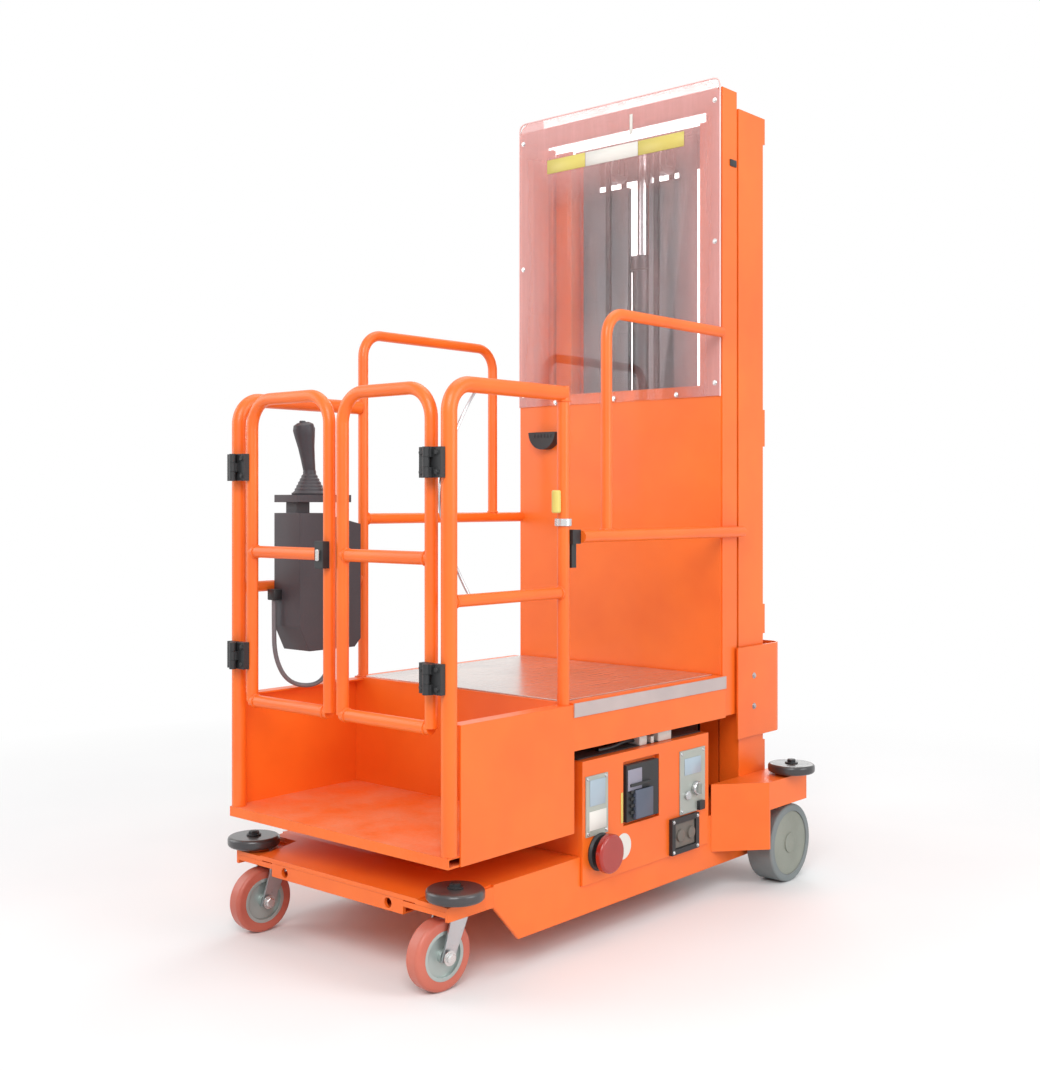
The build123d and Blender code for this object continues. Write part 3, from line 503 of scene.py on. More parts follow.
def side_block(s, low, high, radius):
    """A block drawn for the right side where s is 1, and its mirror image where s is -1."""
    near, far = sorted((s * low[0], s * high[0]))
    return soft_block(at(near, *low[1:]), at(far, *high[1:]), radius)


def turned(profile, place, direction, sides=48):
    """A turned solid. The profile is (radius, height) pairs from its foot, along the direction."""
    shape = bmesh.new()
    rings = []
    for radius, height in profile:
        angles = [2 * pi * k / sides for k in range(sides)]
        rings.append([shape.verts.new((radius * cos(a), radius * sin(a), height)) for a in angles])
    for lower, upper in zip(rings, rings[1:]):
        for k in range(sides):
            after = (k + 1) % sides
            shape.faces.new((lower[k], lower[after], upper[after], upper[k]))
    shape.faces.new(rings[0][::-1])
    shape.faces.new(rings[-1])
    turn = Vector((0, 0, 1)).rotation_difference(Vector(direction)).to_matrix().to_4x4()
    bmesh.ops.transform(shape, matrix=Matrix.Translation(place) @ turn, verts=shape.verts)
    return shape


print("blocks and turned shapes ready")

# %% [markdown]
# Bent sheet, such as the rear hood, is an outline pushed along one direction. Its round corners could be
# many typed points. An arc by its middle, radius and angles says the same in one line.


# %% Outlines
def prism(outline, shift):
    """A flat outline pushed along a vector."""
    shape = bmesh.new()
    face = shape.faces.new([shape.verts.new(point) for point in outline])
    pushed = bmesh.ops.extrude_face_region(shape, geom=[face])["geom"]
    moved = [item for item in pushed if isinstance(item, bmesh.types.BMVert)]
    bmesh.ops.translate(shape, vec=Vector(shift), verts=moved)
    return shape


def corner_arc(middle, radius, start, end, steps=10):
    """Points round a corner, as (along, across) pairs, from one angle in degrees to another."""
    angles = [radians(start + (end - start) * k / steps) for k in range(steps + 1)]
    return [(middle[0] + radius * cos(a), middle[1] + radius * sin(a)) for a in angles]


print("outlines ready")

# %% [markdown]
# Wires and leads follow a line. A chain of cylinders would show kinks. A curve with a round bevel bends
# smoothly, and its few control points are easy to move. Where a plain mesh is needed the curve is turned
# into one at once.


# %% Bars along a line
def smooth_line(name, places, radius, steps=8, roundness=3):
    """A round bar, as curve data, along a smooth line led by the given places."""
    line = bpy.data.curves.new(name, "CURVE")
    line.dimensions = "3D"
    line.bevel_depth = radius
    line.bevel_resolution = roundness
    line.resolution_u = steps
    line.use_fill_caps = True
    spline = line.splines.new("NURBS")
    spline.points.add(len(places) - 1)
    for point, place in zip(spline.points, places):
        point.co = (*place, 1)
    spline.order_u = 3
    spline.use_endpoint_u = True
    return line


def bar(places, radius):
    """The same round bar as bmesh geometry."""
    holder = bpy.data.objects.new("bar", smooth_line("bar", places, radius))
    mesh = bpy.data.meshes.new_from_object(holder)
    shape = bmesh.new()
    shape.from_mesh(mesh)
    bpy.data.objects.remove(holder)
    bpy.data.meshes.remove(mesh)
    return shape


print("bars ready")

# %% [markdown]
# A fitting is often several shapes in one finish, such as two knobs on one plate. Each could be an object
# of its own, but one object a fitting keeps the list of pieces short and plain. The last helper joins
# shapes in one mesh, turns its faces outwards, smooths it except at sharp corners, and lets it ride on a
# body.


# %% One object from several shapes
SHARP_ANGLE = 35


def piece(name, shapes, body, material, smooth=True):
    """One object from one or more shapes, riding on a body."""
    whole = bmesh.new()
    for shape in shapes:
        part = bpy.data.meshes.new("part")
        shape.to_mesh(part)
        shape.free()
        whole.from_mesh(part)
        bpy.data.meshes.remove(part)
    bmesh.ops.recalc_face_normals(whole, faces=whole.faces)
    mesh = bpy.data.meshes.new(name)
    whole.to_mesh(mesh)
    whole.free()
    if smooth:
        mesh.shade_smooth()
        mesh.set_sharp_from_angle(angle=radians(SHARP_ANGLE))
    mesh.materials.append(material)
    thing = bpy.data.objects.new(name, mesh)
    bpy.context.scene.collection.objects.link(thing)
    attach(thing, body)
    return thing


def sticker(name, low, high, body, material):
    """A thin plate or sticker with soft edges, between two corners on the drawing."""
    return piece(name, [soft_block(at(*low), at(*high), 0.0004)], body, material)


print("piece helper ready")

# %% [markdown]
# Bolt heads and weld beads are everywhere and all alike, which is a job for Geometry Nodes. A tree takes
# loose points, each with an arrow in its attribute "aim", and sets a shape on every one. Copies could be
# placed by a Python loop too, but a tree keeps the recipe in one place, and its sizes stay named inputs.


# %% Parts that both node trees share
def tree_with(name, inputs):
    """A Geometry Nodes tree with one geometry in, one out, and named inputs."""
    tree = bpy.data.node_groups.new(name, "GeometryNodeTree")
    tree.interface.new_socket("Geometry", in_out="INPUT", socket_type="NodeSocketGeometry")
    for label, kind in inputs:
        tree.interface.new_socket(label, in_out="INPUT", socket_type=kind)
    tree.interface.new_socket("Geometry", in_out="OUTPUT", socket_type="NodeSocketGeometry")
    return tree, tree.nodes.new("NodeGroupInput"), tree.nodes.new("NodeGroupOutput")


def attribute(tree, label, kind):
    """What each point says under the given name."""
    node = tree.nodes.new("GeometryNodeInputNamedAttribute")
    node.data_type = kind
    node.inputs["Name"].default_value = label
    return node.outputs["Attribute"]


def set_on_points(tree, points, shape, size=None):
    """A shape on each point, its top along the point's arrow, made real."""
    turn = tree.nodes.new("FunctionNodeAlignRotationToVector")
    turn.axis = "Z"
    tree.links.new(attribute(tree, "aim", "FLOAT_VECTOR"), turn.inputs["Vector"])
    place = tree.nodes.new("GeometryNodeInstanceOnPoints")
    tree.links.new(points, place.inputs["Points"])
    tree.links.new(shape, place.inputs["Instance"])
    tree.links.new(turn.outputs[0], place.inputs["Rotation"])
    if size is not None:
        tree.links.new(size, place.inputs["Scale"])
    real = tree.nodes.new("GeometryNodeRealizeInstances")
    tree.links.new(place.outputs[0], real.inputs[0])
    return real.outputs[0]


def paint_and_end(tree, start, end, geometry):
    """The tree's last step: its material goes on, and the result goes out."""
    paint = tree.nodes.new("GeometryNodeSetMaterial")
    tree.links.new(geometry, paint.inputs["Geometry"])
    tree.links.new(start.outputs["Material"], paint.inputs["Material"])
    tree.links.new(paint.outputs[0], end.inputs[0])


print("tree helpers ready")

# %% [markdown]
# A fastener is a washer, a shank and a chamfered crown on top of each other. Each is a cone node, because
# a cone with two radii can be a disc, a prism or a chamfer. Six sides give a hexagon bolt, and many sides
# give a round head. The table says how the three share the head's radius and height.

# %% Fasteners, as a node tree
WASHER_SIDES = 20
HEAD_PARTS = [
    # part, foot and top radius as shares of the radius, depth and foot height as shares of the height
    ("washer", 1.4, 1.36, 0.22, 0.0),
    ("shank", 1.0, 1.0, 0.6, 0.2),
    ("crown", 1.0, 0.8, 0.2, 0.8),
]


def drum(tree, sides, low_radius, top_radius, depth, foot):
    """A cone or cylinder node, lifted so that it stands on the height foot."""
    node = tree.nodes.new("GeometryNodeMeshCone")
    feed(tree, node.inputs["Vertices"], sides)
    feed(tree, node.inputs["Radius Bottom"], low_radius)
    feed(tree, node.inputs["Radius Top"], top_radius)
    feed(tree, node.inputs["Depth"], depth)
    offset = tree.nodes.new("ShaderNodeCombineXYZ")
    feed(tree, offset.inputs["Z"], foot)
    lift = tree.nodes.new("GeometryNodeTransform")
    tree.links.new(node.outputs["Mesh"], lift.inputs["Geometry"])
    tree.links.new(offset.outputs[0], lift.inputs["Translation"])
    return lift.outputs["Geometry"]


def build_fasteners():
    """A washer and a chamfered head on each point."""
    tree, start, end = tree_with("fasteners", [
        ("Radius", "NodeSocketFloat"), ("Height", "NodeSocketFloat"), ("Sides", "NodeSocketInt"),
        ("Material", "NodeSocketMaterial"),
    ])
    radius, height = start.outputs["Radius"], start.outputs["Height"]
    join = tree.nodes.new("GeometryNodeJoinGeometry")
    for part, low, top, depth, foot in HEAD_PARTS:
        sides = WASHER_SIDES if part == "washer" else start.outputs["Sides"]
        solid = drum(tree, sides,
                     maths(tree, "MULTIPLY", radius, low), maths(tree, "MULTIPLY", radius, top),
                     maths(tree, "MULTIPLY", height, depth), maths(tree, "MULTIPLY", height, foot))
        tree.links.new(solid, join.inputs["Geometry"])
    heads = set_on_points(tree, start.outputs["Geometry"], join.outputs[0])
    paint_and_end(tree, start, end, heads)
    return tree


FASTENERS = build_fasteners()
print("fastener tree has", len(FASTENERS.nodes), "nodes")

# %% [markdown]
# A weld bead is a thin uneven ring where one tube meets another. A torus would be too even and too round.
# Here a circle is set on each point in the size of its tube and made real, because a sweep needs real
# curves. Then a small profile is swept along it, and noise pushes the surface about by a fraction of a
# millimetre.

# %% Weld beads, as a node tree
RING_SIDES = 40
BEAD_SIDES = 6
BEAD_UNEVEN = 0.0018
BEAD_RIPPLES = 240.0


def build_weld_rings():
    """A thin uneven ring round each point's arrow."""
    tree, start, end = tree_with("weld_rings", [
        ("Bead", "NodeSocketFloat"), ("Material", "NodeSocketMaterial"),
    ])
    circle = tree.nodes.new("GeometryNodeCurvePrimitiveCircle")
    circle.inputs["Resolution"].default_value = RING_SIDES
    circle.inputs["Radius"].default_value = 1.0
    ring_size = attribute(tree, "ring", "FLOAT")
    rings = set_on_points(tree, start.outputs["Geometry"], circle.outputs[0], ring_size)
    profile = tree.nodes.new("GeometryNodeCurvePrimitiveCircle")
    profile.inputs["Resolution"].default_value = BEAD_SIDES
    tree.links.new(start.outputs["Bead"], profile.inputs["Radius"])
    bead = tree.nodes.new("GeometryNodeCurveToMesh")
    tree.links.new(rings, bead.inputs["Curve"])
    tree.links.new(profile.outputs[0], bead.inputs["Profile Curve"])
    ripples = tree.nodes.new("ShaderNodeTexNoise")
    ripples.inputs["Scale"].default_value = BEAD_RIPPLES
    centred = tree.nodes.new("ShaderNodeVectorMath")
    centred.operation = "SUBTRACT"
    centred.inputs[1].default_value = (0.5, 0.5, 0.5)
    tree.links.new(ripples.outputs["Color"], centred.inputs[0])
    small = tree.nodes.new("ShaderNodeVectorMath")
    small.operation = "SCALE"
    small.inputs["Scale"].default_value = BEAD_UNEVEN
    tree.links.new(centred.outputs[0], small.inputs[0])
    shift = tree.nodes.new("GeometryNodeSetPosition")
    tree.links.new(bead.outputs[0], shift.inputs["Geometry"])
    tree.links.new(small.outputs[0], shift.inputs["Offset"])
    paint_and_end(tree, start, end, shift.outputs[0])
    return tree


WELD_RINGS = build_weld_rings()
print("weld tree has", len(WELD_RINGS.nodes), "nodes")

# %% [markdown]
# A tree needs an object to run on. This helper makes a mesh of loose points with their arrows and ring
# sizes, sets the tree's inputs by their identifiers, and keeps the result as a plain mesh. A live
# modifier could stay, but a plain mesh is what leaves Blender, and what rides on a body.


# %% Running a tree on a set of points
FRONT, BACK, RIGHT, UP = (0, -1, 0), (0, 1, 0), (1, 0, 0), (0, 0, 1)


def grown(name, tree, spots, body, slot, **inputs):
    """Runs a tree on points given as (place, aim) or (place, aim, ring), and keeps the plain mesh."""
    seeds = bpy.data.meshes.new(name + "_seeds")
    seeds.from_pydata([spot[0] for spot in spots], [], [])
    seeds.attributes.new("aim", "FLOAT_VECTOR", "POINT")
    seeds.attributes.new("ring", "FLOAT", "POINT")
    for k, spot in enumerate(spots):
        seeds.attributes["aim"].data[k].vector = spot[1]
        seeds.attributes["ring"].data[k].value = spot[2] if len(spot) > 2 else 1.0
    holder = bpy.data.objects.new(name + "_seeds", seeds)
    bpy.context.scene.collection.objects.link(holder)
    modifier = holder.modifiers.new("grow", "NODES")
    modifier.node_group = tree
    for item in tree.interface.items_tree:
        if item.in_out == "INPUT" and item.name in inputs:
            modifier[item.identifier] = inputs[item.name]
    ready = holder.evaluated_get(bpy.context.evaluated_depsgraph_get())
    mesh = bpy.data.meshes.new_from_object(ready)
    bpy.data.objects.remove(holder)
    bpy.data.meshes.remove(seeds)
    mesh.name = name
    thing = bpy.data.objects.new(name, mesh)
    bpy.context.scene.collection.objects.link(thing)
    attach(thing, body)
    return thing


print("directions:", FRONT, BACK, RIGHT, UP)

# %% [markdown]
# The hinges of the gates are bolted to the posts and to the leaves, two dark bolts on each plate. The
# bolts on the posts stay with the basket, and those on a leaf swing with it, so they are two objects on
# two bodies.

# %% Hinge bolts
SIDES = (("right", 1), ("left", -1))
HINGE_HEIGHTS = (656, 1098)
HINGE_FACE = -13
HINGE_PLATES = (("post", 342), ("leaf", 299))
BOLT_SPREAD = 20
for side, s in SIDES:
    for plate, x in HINGE_PLATES:
        heights = [z + dz for z in HINGE_HEIGHTS for dz in (-BOLT_SPREAD, BOLT_SPREAD)]
        spots = [(at(s * x, HINGE_FACE, z), FRONT) for z in heights]
        body = "carriage" if plate == "post" else f"gate_{side}"
        grown(f"hinge_bolts_{plate}_{side}", FASTENERS, spots, body, "black_plastic",
              Radius=0.006, Height=0.004, Sides=6, Material=black_plastic)
print("hinge bolts:", 2 * len(HINGE_PLATES) * len(heights))

# %% [markdown]
# The clear guard is held to the carriage by small bright screws along both sides and its lower edge. They
# sit on the sheet's own front face, which is read from the frame.

# %% Guard screws
(_, GUARD_FACE, GUARD_LOW), (GUARD_HALF, _, GUARD_TOP) = drawn("guard_sheet")
SIDE_INSET, LOW_INSET = 15, 10
SIDE_SCREWS = (1329, 1700, 2070)
LOW_SCREWS = (-210, 0, 210)
guard_screws = [(at(s * (GUARD_HALF - SIDE_INSET), GUARD_FACE, z), FRONT)
                for s in (-1, 1) for z in SIDE_SCREWS]
guard_screws += [(at(x, GUARD_FACE, GUARD_LOW + LOW_INSET), FRONT) for x in LOW_SCREWS]
grown("guard_screws", FASTENERS, guard_screws, "carriage", "zinc",
      Radius=0.005, Height=0.004, Sides=20, Material=bright_screw)
print("guard screws:", len(guard_screws))

# %% [markdown]
# Each bumper roller turns on a pin with a dark nut on top. The nut belongs to the base and not to the
# roller, so it stands a millimetre above the disc and stays still while the disc turns.

# %% Bumper nuts
NUT_GAP = 0.001
for side in ("right", "left"):
    for end in ("front", "rear"):
        low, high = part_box(f"bumper_{end}_{side}")
        centre = (Vector(low) + Vector(high)) / 2
        top = [(Vector((centre.x, centre.y, high[2] + NUT_GAP)), UP)]
        grown(f"bumper_nut_{end}_{side}", FASTENERS, top, "chassis", "dark_steel",
              Radius=0.0125, Height=0.010, Sides=6, Material=dark_steel)
print("bumper nuts in place")

# %% [markdown]
# A caster's wheel runs on an axle through the fork, with a bright bolt head at both ends. The casters
# stand turned a little, as they do after a push, so the axle's heading is a named angle. The bolts ride
# on the fork and swivel with it.

# %% Caster axle bolts
CASTER_ACROSS = 175.0
AXLE_HALF = 0.0365
across = Vector((cos(radians(CASTER_ACROSS)), sin(radians(CASTER_ACROSS)), 0))
for side in ("right", "left"):
    wheel = [Vector(corner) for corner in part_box(f"caster_wheel_{side}")]
    hub = (wheel[0] + wheel[1]) / 2
    ends = [(hub + across * AXLE_HALF * k, tuple(across * k)) for k in (-1, 1)]
    grown(f"caster_axle_bolts_{side}", FASTENERS, ends, f"caster_{side}", "zinc",
          Radius=0.0115, Height=0.009, Sides=6, Material=bright_screw)
print("casters have their axle bolts")

# %% [markdown]
# Where tube meets tube the real frame is welded, and the bead is the detail that tells welded steel from
# moulded plastic. Each ring sits where a rail runs into a post, a little larger than the rail. The rings
# of the gates are objects of their own, because the leaves swing.

# %% Weld beads of the rails and gates
POST_X, FRONT_POST, REAR_POST = 348, 17, 385.7
POST_SIDE, TUBE_SIDE = 17.5, 14.5
MID_RAIL, RAIL_TOP = 813, 1261
RAIL_RING, LOOP_RING, TUBE_RING = 0.0133, 0.0136, 0.0143
BEAD = 0.0026
rail_welds = [
    # place, direction of the tube, radius of the ring in metres
    (at(POST_X, FRONT_POST + POST_SIDE, MID_RAIL), BACK, RAIL_RING),
    (at(POST_X, REAR_POST - TUBE_SIDE, MID_RAIL), BACK, RAIL_RING),
    (at(POST_X, REAR_POST, RAIL_TOP - POST_SIDE), UP, TUBE_RING),
    (at(-POST_X, FRONT_POST + POST_SIDE, MID_RAIL), BACK, RAIL_RING),
    (at(-POST_X, 400, MID_RAIL), BACK, RAIL_RING),
    (at(-POST_X, 428, 973), BACK, TUBE_RING),
    (at(-POST_X, 915, 988), UP, LOOP_RING),
    (at(352, 540, 953), UP, LOOP_RING),
    (at(-POST_X, 414, 564.5), UP, LOOP_RING),
]
grown("rail_welds", WELD_RINGS, rail_welds, "carriage", "orange_paint", Bead=BEAD, Material=powder_coat)

LEAF_IN, LEAF_OUT = 22, 297
LEAF_RAILS = (900, 549)
for side, s in SIDES:
    spots = [(at(s * x, FRONT_POST, z), RIGHT, TUBE_RING)
             for x in (LEAF_IN + TUBE_SIDE, LEAF_OUT - TUBE_SIDE) for z in LEAF_RAILS]
    grown(f"leaf_welds_{side}", WELD_RINGS, spots, f"gate_{side}", "orange_paint",
          Bead=BEAD, Material=powder_coat)
print("welds on rails:", len(rail_welds), "and on each leaf:", len(spots))

# %% [markdown]
# The service face carries two pale plates, the charger's module and small boxes. Their signs could be
# pictures on the plates. Thin pieces with soft edges catch the light as real stickers do. They stay
# blank: only colour and shape are kept.

# %% Signs and module of the service face
FACE = drawn("control_panel")[1][0]
FACE_PLATES = [
    # name, from and to off the face, from and to along it, from and to in height, finish, slot
    ("plate_sign_sky", 3.1, 3.9, 468, 526, 318, 378, sky_label, "grey_trim"),
    ("plate_sign_white", 3.1, 3.9, 466, 530, 262, 306, plain_white, "grey_trim"),
    ("plate_sign_high", 3.1, 3.9, 852, 926, 330, 372, sky_label, "grey_trim"),
    ("module_sign", 4.1, 5.6, 612, 668, 330, 380, mauve_label, "grey_trim"),
    ("module_cover", 4.1, 13, 634, 704, 262, 330, module_blue, "black_plastic"),
    ("module_strip", 0.2, 1.2, 590, 598, 258, 330, yellow_label, "grey_trim"),
    ("small_box", 0.2, 12, 908, 932, 236, 258, black_plastic, "black_plastic"),
]
for name, x0, x1, y0, y1, z0, z1, material, slot in FACE_PLATES:
    sticker(name, (FACE + x0, y0, z0), (FACE + x1, y1, z1), "chassis", material)
print("plates and signs on the face:", len(FACE_PLATES))

# %% [markdown]
# Round things sit on the face as well: a blank round sign behind the emergency stop, the ring under the
# stop's red head, and the key switch with a small knob beside it. They are turned from short profiles.

# %% Round fittings of the service face
round_sign = turned([(0.030, 0.0), (0.031, 0.0006), (0.0305, 0.0012)], at(FACE, 599, 202), RIGHT)
piece("round_sign", [round_sign], "chassis", plain_white)
stop_ring = turned([(0.043, 0), (0.044, 0.003), (0.040, 0.009), (0.037, 0.009)], at(FACE, 508, 208), RIGHT)
piece("stop_ring", [stop_ring], "chassis", black_plastic)
KEY_PROFILE = [(0.017, 0), (0.018, 0.002), (0.018, 0.008), (0.0155, 0.012), (0.010, 0.012)]
KNOB_PROFILE = [(0.011, 0), (0.011, 0.006), (0.009, 0.008)]
key_ring = [turned(KEY_PROFILE, at(FACE + 3, 900, 293), RIGHT),
            turned(KNOB_PROFILE, at(FACE + 3, 862, 280), RIGHT, 24)]
piece("key_ring", key_ring, "chassis", bright_screw)
print("round fittings on the face: 4")

# %% [markdown]
# The charging socket is a dark frame with a grey insert and two round contacts in it. The two pale plates
# and the socket are each held by four small screws near their corners, one run of the fastener tree for
# all of them.

# %% Charging socket and screws
CONTACT_PROFILE = [(0.015, 0), (0.015, 0.006), (0.013, 0.007)]
socket_back = [soft_block(at(FACE + 4, 805, 157), at(FACE + 6.5, 892, 217))]
socket_back += [turned(CONTACT_PROFILE, at(FACE + 6, y, 187), RIGHT, 32) for y in (825, 872)]
piece("socket_contacts", socket_back, "chassis", socket_grey)

SCREW_CORNERS = [
    # off the face, places along it, heights
    (3, (462, 530), (256, 381)),
    (3, (841, 937), (242, 385)),
    (10, (796, 901), (149, 224)),
]
face_screws = [(at(FACE + off, y, z), RIGHT) for off, ys, zs in SCREW_CORNERS for y in ys for z in zs]
grown("service_screws", FASTENERS, face_screws, "chassis", "zinc",
      Radius=0.0034, Height=0.0028, Sides=16, Material=bright_screw)
print("screws on the face:", len(face_screws))

# %% [markdown]
# In the gap between the battery box and the cargo deck there is shade, with a few pale connectors and the
# end of a lead. The shade is painted with a thin black sheet that lies on the box lid. It could be a dark
# patch of paint, but a sheet gives the gap its depth from every side.

# %% Connectors over the battery box
BOX_LID = drawn("battery_box")[1][2]
# painted shade: a black sheet on the lid that darkens the gap
shade_sheet = [soft_block(at(-330, 452, BOX_LID + 0.2), at(337, 958, BOX_LID + 3), 0.0012)]
piece("battery_shade_sheet", shade_sheet, "chassis", black_plastic)
CONNECTORS = [
    # from and to along the box, height over its lid
    (690, 722, 24),
    (738, 752, 18),
    (768, 826, 26),
]
connectors = [soft_block(at(300, y0, BOX_LID), at(338, y1, BOX_LID + h), 0.003) for y0, y1, h in CONNECTORS]
piece("battery_connectors", connectors, "chassis", plain_white)
lead_end = [at(310, 560, BOX_LID + 5), at(318, 600, BOX_LID + 5), at(316, 660, BOX_LID + 16),
            at(318, 691, BOX_LID + 12)]
piece("battery_lead", [bar(lead_end, 0.005)], "chassis", black_rubber)
print("battery connectors:", len(CONNECTORS))

# %% [markdown]
# The guard's edges are polished and catch the light. A bevel on the sheet would show it too, but the
# packed sheet stays as it is, so a thin pale pink rim follows its outline with round upper corners: a
# painted highlight of those edges.

# %% Guard rim, a painted highlight
GUARD_ROUND = 45
RIM_RADIUS = 0.0024
RIM_DEPTH = 1.5
rim_heights = (GUARD_LOW, 1700, GUARD_TOP - 2 * GUARD_ROUND, GUARD_TOP - GUARD_ROUND, GUARD_TOP)
rim = [(-GUARD_HALF, z) for z in rim_heights]
rim += [(-GUARD_HALF + GUARD_ROUND, GUARD_TOP), (-GUARD_HALF + 2 * GUARD_ROUND, GUARD_TOP)]
rim += [(-x, z) for x, z in reversed(rim)]
rim_line = [at(x, GUARD_FACE + RIM_DEPTH, z) for x, z in rim]
# the rim's pale pink is a painted highlight along the guard's edges
piece("guard_highlight_rim", [bar(rim_line, RIM_RADIUS)], "carriage", painted_edge_highlight)
print("guard rim led by", len(rim_line), "places")

# %% [markdown]
# A faint film of fine scratches makes the clear sheet visible, and it also carries a painted sheen. It
# could be part of the glass, but glass itself should stay plain. So the film is a separate thin sheet in
# front of it, whose material is mostly clear: a pale pink painted sheen near the sides and the top, which
# stands for the light on the sheet there, and streaky with scratches in between.


# %% Guard film with painted sheen
FILM_INSET, FILM_GAP, FILM_THICK = 1, 0.7, 0.0003


def make_guard_film_and_sheen():
    """Nearly clear, with a pale pink painted sheen near the sides and top, and streaks of fine scratches."""
    material = bpy.data.materials.new("guard_film_and_sheen")
    material.use_nodes = True
    tree = material.node_tree
    shader = tree.nodes["Principled BSDF"]
    # the pale pink is the colour of the painted sheen
    shader.inputs["Base Color"].default_value = linear(232, 176, 172)
    shader.inputs["Roughness"].default_value = 0.3
    split = tree.nodes.new("ShaderNodeSeparateXYZ")
    tree.links.new(tree.nodes.new("ShaderNodeTexCoord").outputs["Object"], split.inputs[0])
    side = window(tree, maths(tree, "ABSOLUTE", split.outputs["X"], 0.0), 0.20, 0.345)
    top = window(tree, split.outputs["Z"], 1.86, 2.12)
    # painted sheen: pale pink over the sides and the top, where the sheet catches the light
    painted_sheen = maths(tree, "MAXIMUM", maths(tree, "MULTIPLY", side, 0.42), maths(tree, "MULTIPLY", top, 0.55))
    streaks = window(tree, noise(tree, 1.0, 6.0, 0.65, stretch=(26, 26, 3)), 0.45, 0.75)
    clouds = window(tree, noise(tree, 5.0, 4.0, 0.6), 0.3, 0.8)
    haze = maths(tree, "ADD", maths(tree, "MULTIPLY", streaks, 0.10), maths(tree, "MULTIPLY", clouds, 0.07))
    tree.links.new(maths(tree, "ADD", painted_sheen, haze), shader.inputs["Alpha"])
    return material


reach = GUARD_HALF - FILM_INSET - GUARD_ROUND
crown = GUARD_TOP - FILM_INSET - GUARD_ROUND
film_line = [(x, GUARD_LOW + FILM_INSET) for x in (-GUARD_HALF + FILM_INSET, GUARD_HALF - FILM_INSET)]
film_line += corner_arc((reach, crown), GUARD_ROUND, 0, 90)
film_line += corner_arc((-reach, crown), GUARD_ROUND, 90, 180)
film_sheet = prism([at(x, GUARD_FACE - FILM_GAP, z) for x, z in film_line], (0, FILM_THICK, 0))
piece("guard_film_and_sheen", [film_sheet], "carriage", make_guard_film_and_sheen(), smooth=False)
print("guard film has", len(film_line), "corners")

# %% [markdown]
# A blank band, yellow at both ends and white between, runs across the guard so that nobody walks into it,
# and a narrow tab hangs above. They are stickers, so they lie just in front of the film.

# %% Stickers on the guard
BAND_LOW, BAND_HIGH = 1966, 2006
GUARD_STICKERS = [
    # name, from and to across, from and to in height, finish
    ("guard_band_left", -240, -100, BAND_LOW, BAND_HIGH, yellow_label),
    ("guard_band_middle", -99, 84, BAND_LOW, BAND_HIGH, plain_white),
    ("guard_band_right", 85, 236, BAND_LOW, BAND_HIGH, yellow_label),
    ("guard_tab", 56, 66, 2030, 2084, plain_white),
]
for name, x0, x1, z0, z1, material in GUARD_STICKERS:
    sticker(name, (x0, GUARD_FACE - 1.4, z0), (x1, GUARD_FACE - 0.9, z1), "carriage", material)
print("stickers on the guard:", len(GUARD_STICKERS))

# %% [markdown]
# Behind the guard two grey plates stand in the moving mast, one on each side of the cylinder, and hide
# most of what lies behind. They are folded sheet, so each is three thin blocks: the face, its narrow top,
# and the flange along the inner edge. They climb with the inner mast.

# %% Plates in the moving mast
PLATE_FRONT, PLATE_BACK, FLANGE_BACK = 1150, 1153, 1168
PLATE_IN, PLATE_STEP, PLATE_OUT = 36, 139, 199
PLATE_LOW, PLATE_SHOULDER, PLATE_TOP = 250, 1918, 2027
PLATE_PARTS = [
    # lowest corner, highest corner, on the right side
    ((PLATE_IN, PLATE_FRONT, PLATE_LOW), (PLATE_OUT, PLATE_BACK, PLATE_SHOULDER)),
    ((PLATE_STEP, PLATE_FRONT, PLATE_SHOULDER - 1), (PLATE_OUT, PLATE_BACK, PLATE_TOP)),
    ((PLATE_IN, PLATE_BACK - 1, PLATE_LOW), (PLATE_IN + 3, FLANGE_BACK, PLATE_SHOULDER)),
]
plates = [side_block(s, low, high, 0.0006) for s in (-1, 1) for low, high in PLATE_PARTS]
piece("mast_plates", plates, "stage", mast_grey)
print("parts of the mast plates:", len(plates))

# %% [markdown]
# The cover of the power unit is a bent hood with round upright corners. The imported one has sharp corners.
# They could be bevelled, but bent sheet keeps its wall round the bend. So a hood of the same size and
# wall stands in for it, drawn as two lines seen from above and pushed up, with a bracket on each side of
# the mast.

# %% Rear cover with bent corners
(_, COVER_FRONT, COVER_LOW), (COVER_HALF, COVER_BACK, COVER_TOP) = drawn("rear_cover")
COVER_WALL, COVER_BEND = 5, 42
BRACKET_IN = 350.2
COVER_SCREWS = (468, 550)


def hood_line(inset):
    """The bent wall's line seen from above, its ends at the front."""
    radius = COVER_BEND - inset
    x, y = COVER_HALF - inset, COVER_BACK - inset
    right = corner_arc((x - radius, y - radius), radius, 0, 90)
    return [(x, COVER_FRONT)] + right + [(-a, b) for a, b in reversed(right)] + [(-x, COVER_FRONT)]


wall = [at(x, y, COVER_LOW) for x, y in hood_line(0) + hood_line(COVER_WALL)[::-1]]
hood = [prism(wall, (0, 0, (COVER_TOP - COVER_LOW) / 1000))]
bracket_out = COVER_HALF - COVER_WALL + 0.5
hood += [side_block(s, (BRACKET_IN, 1160, COVER_LOW + 60), (bracket_out, 1200, COVER_LOW + 100), 0.001)
         for s in (-1, 1)]
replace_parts(piece("rear_hood", hood, "chassis", powder_coat), "rear_cover")
cover_screws = [(at(s * COVER_HALF, 1180, z), (s, 0, 0)) for s in (-1, 1) for z in COVER_SCREWS]
grown("cover_screws", FASTENERS, cover_screws, "chassis", "zinc",
      Radius=0.006, Height=0.004, Sides=6, Material=zinc_plate)
print("rear hood is", 2 * COVER_HALF, "mm wide, with", len(cover_screws), "screws")

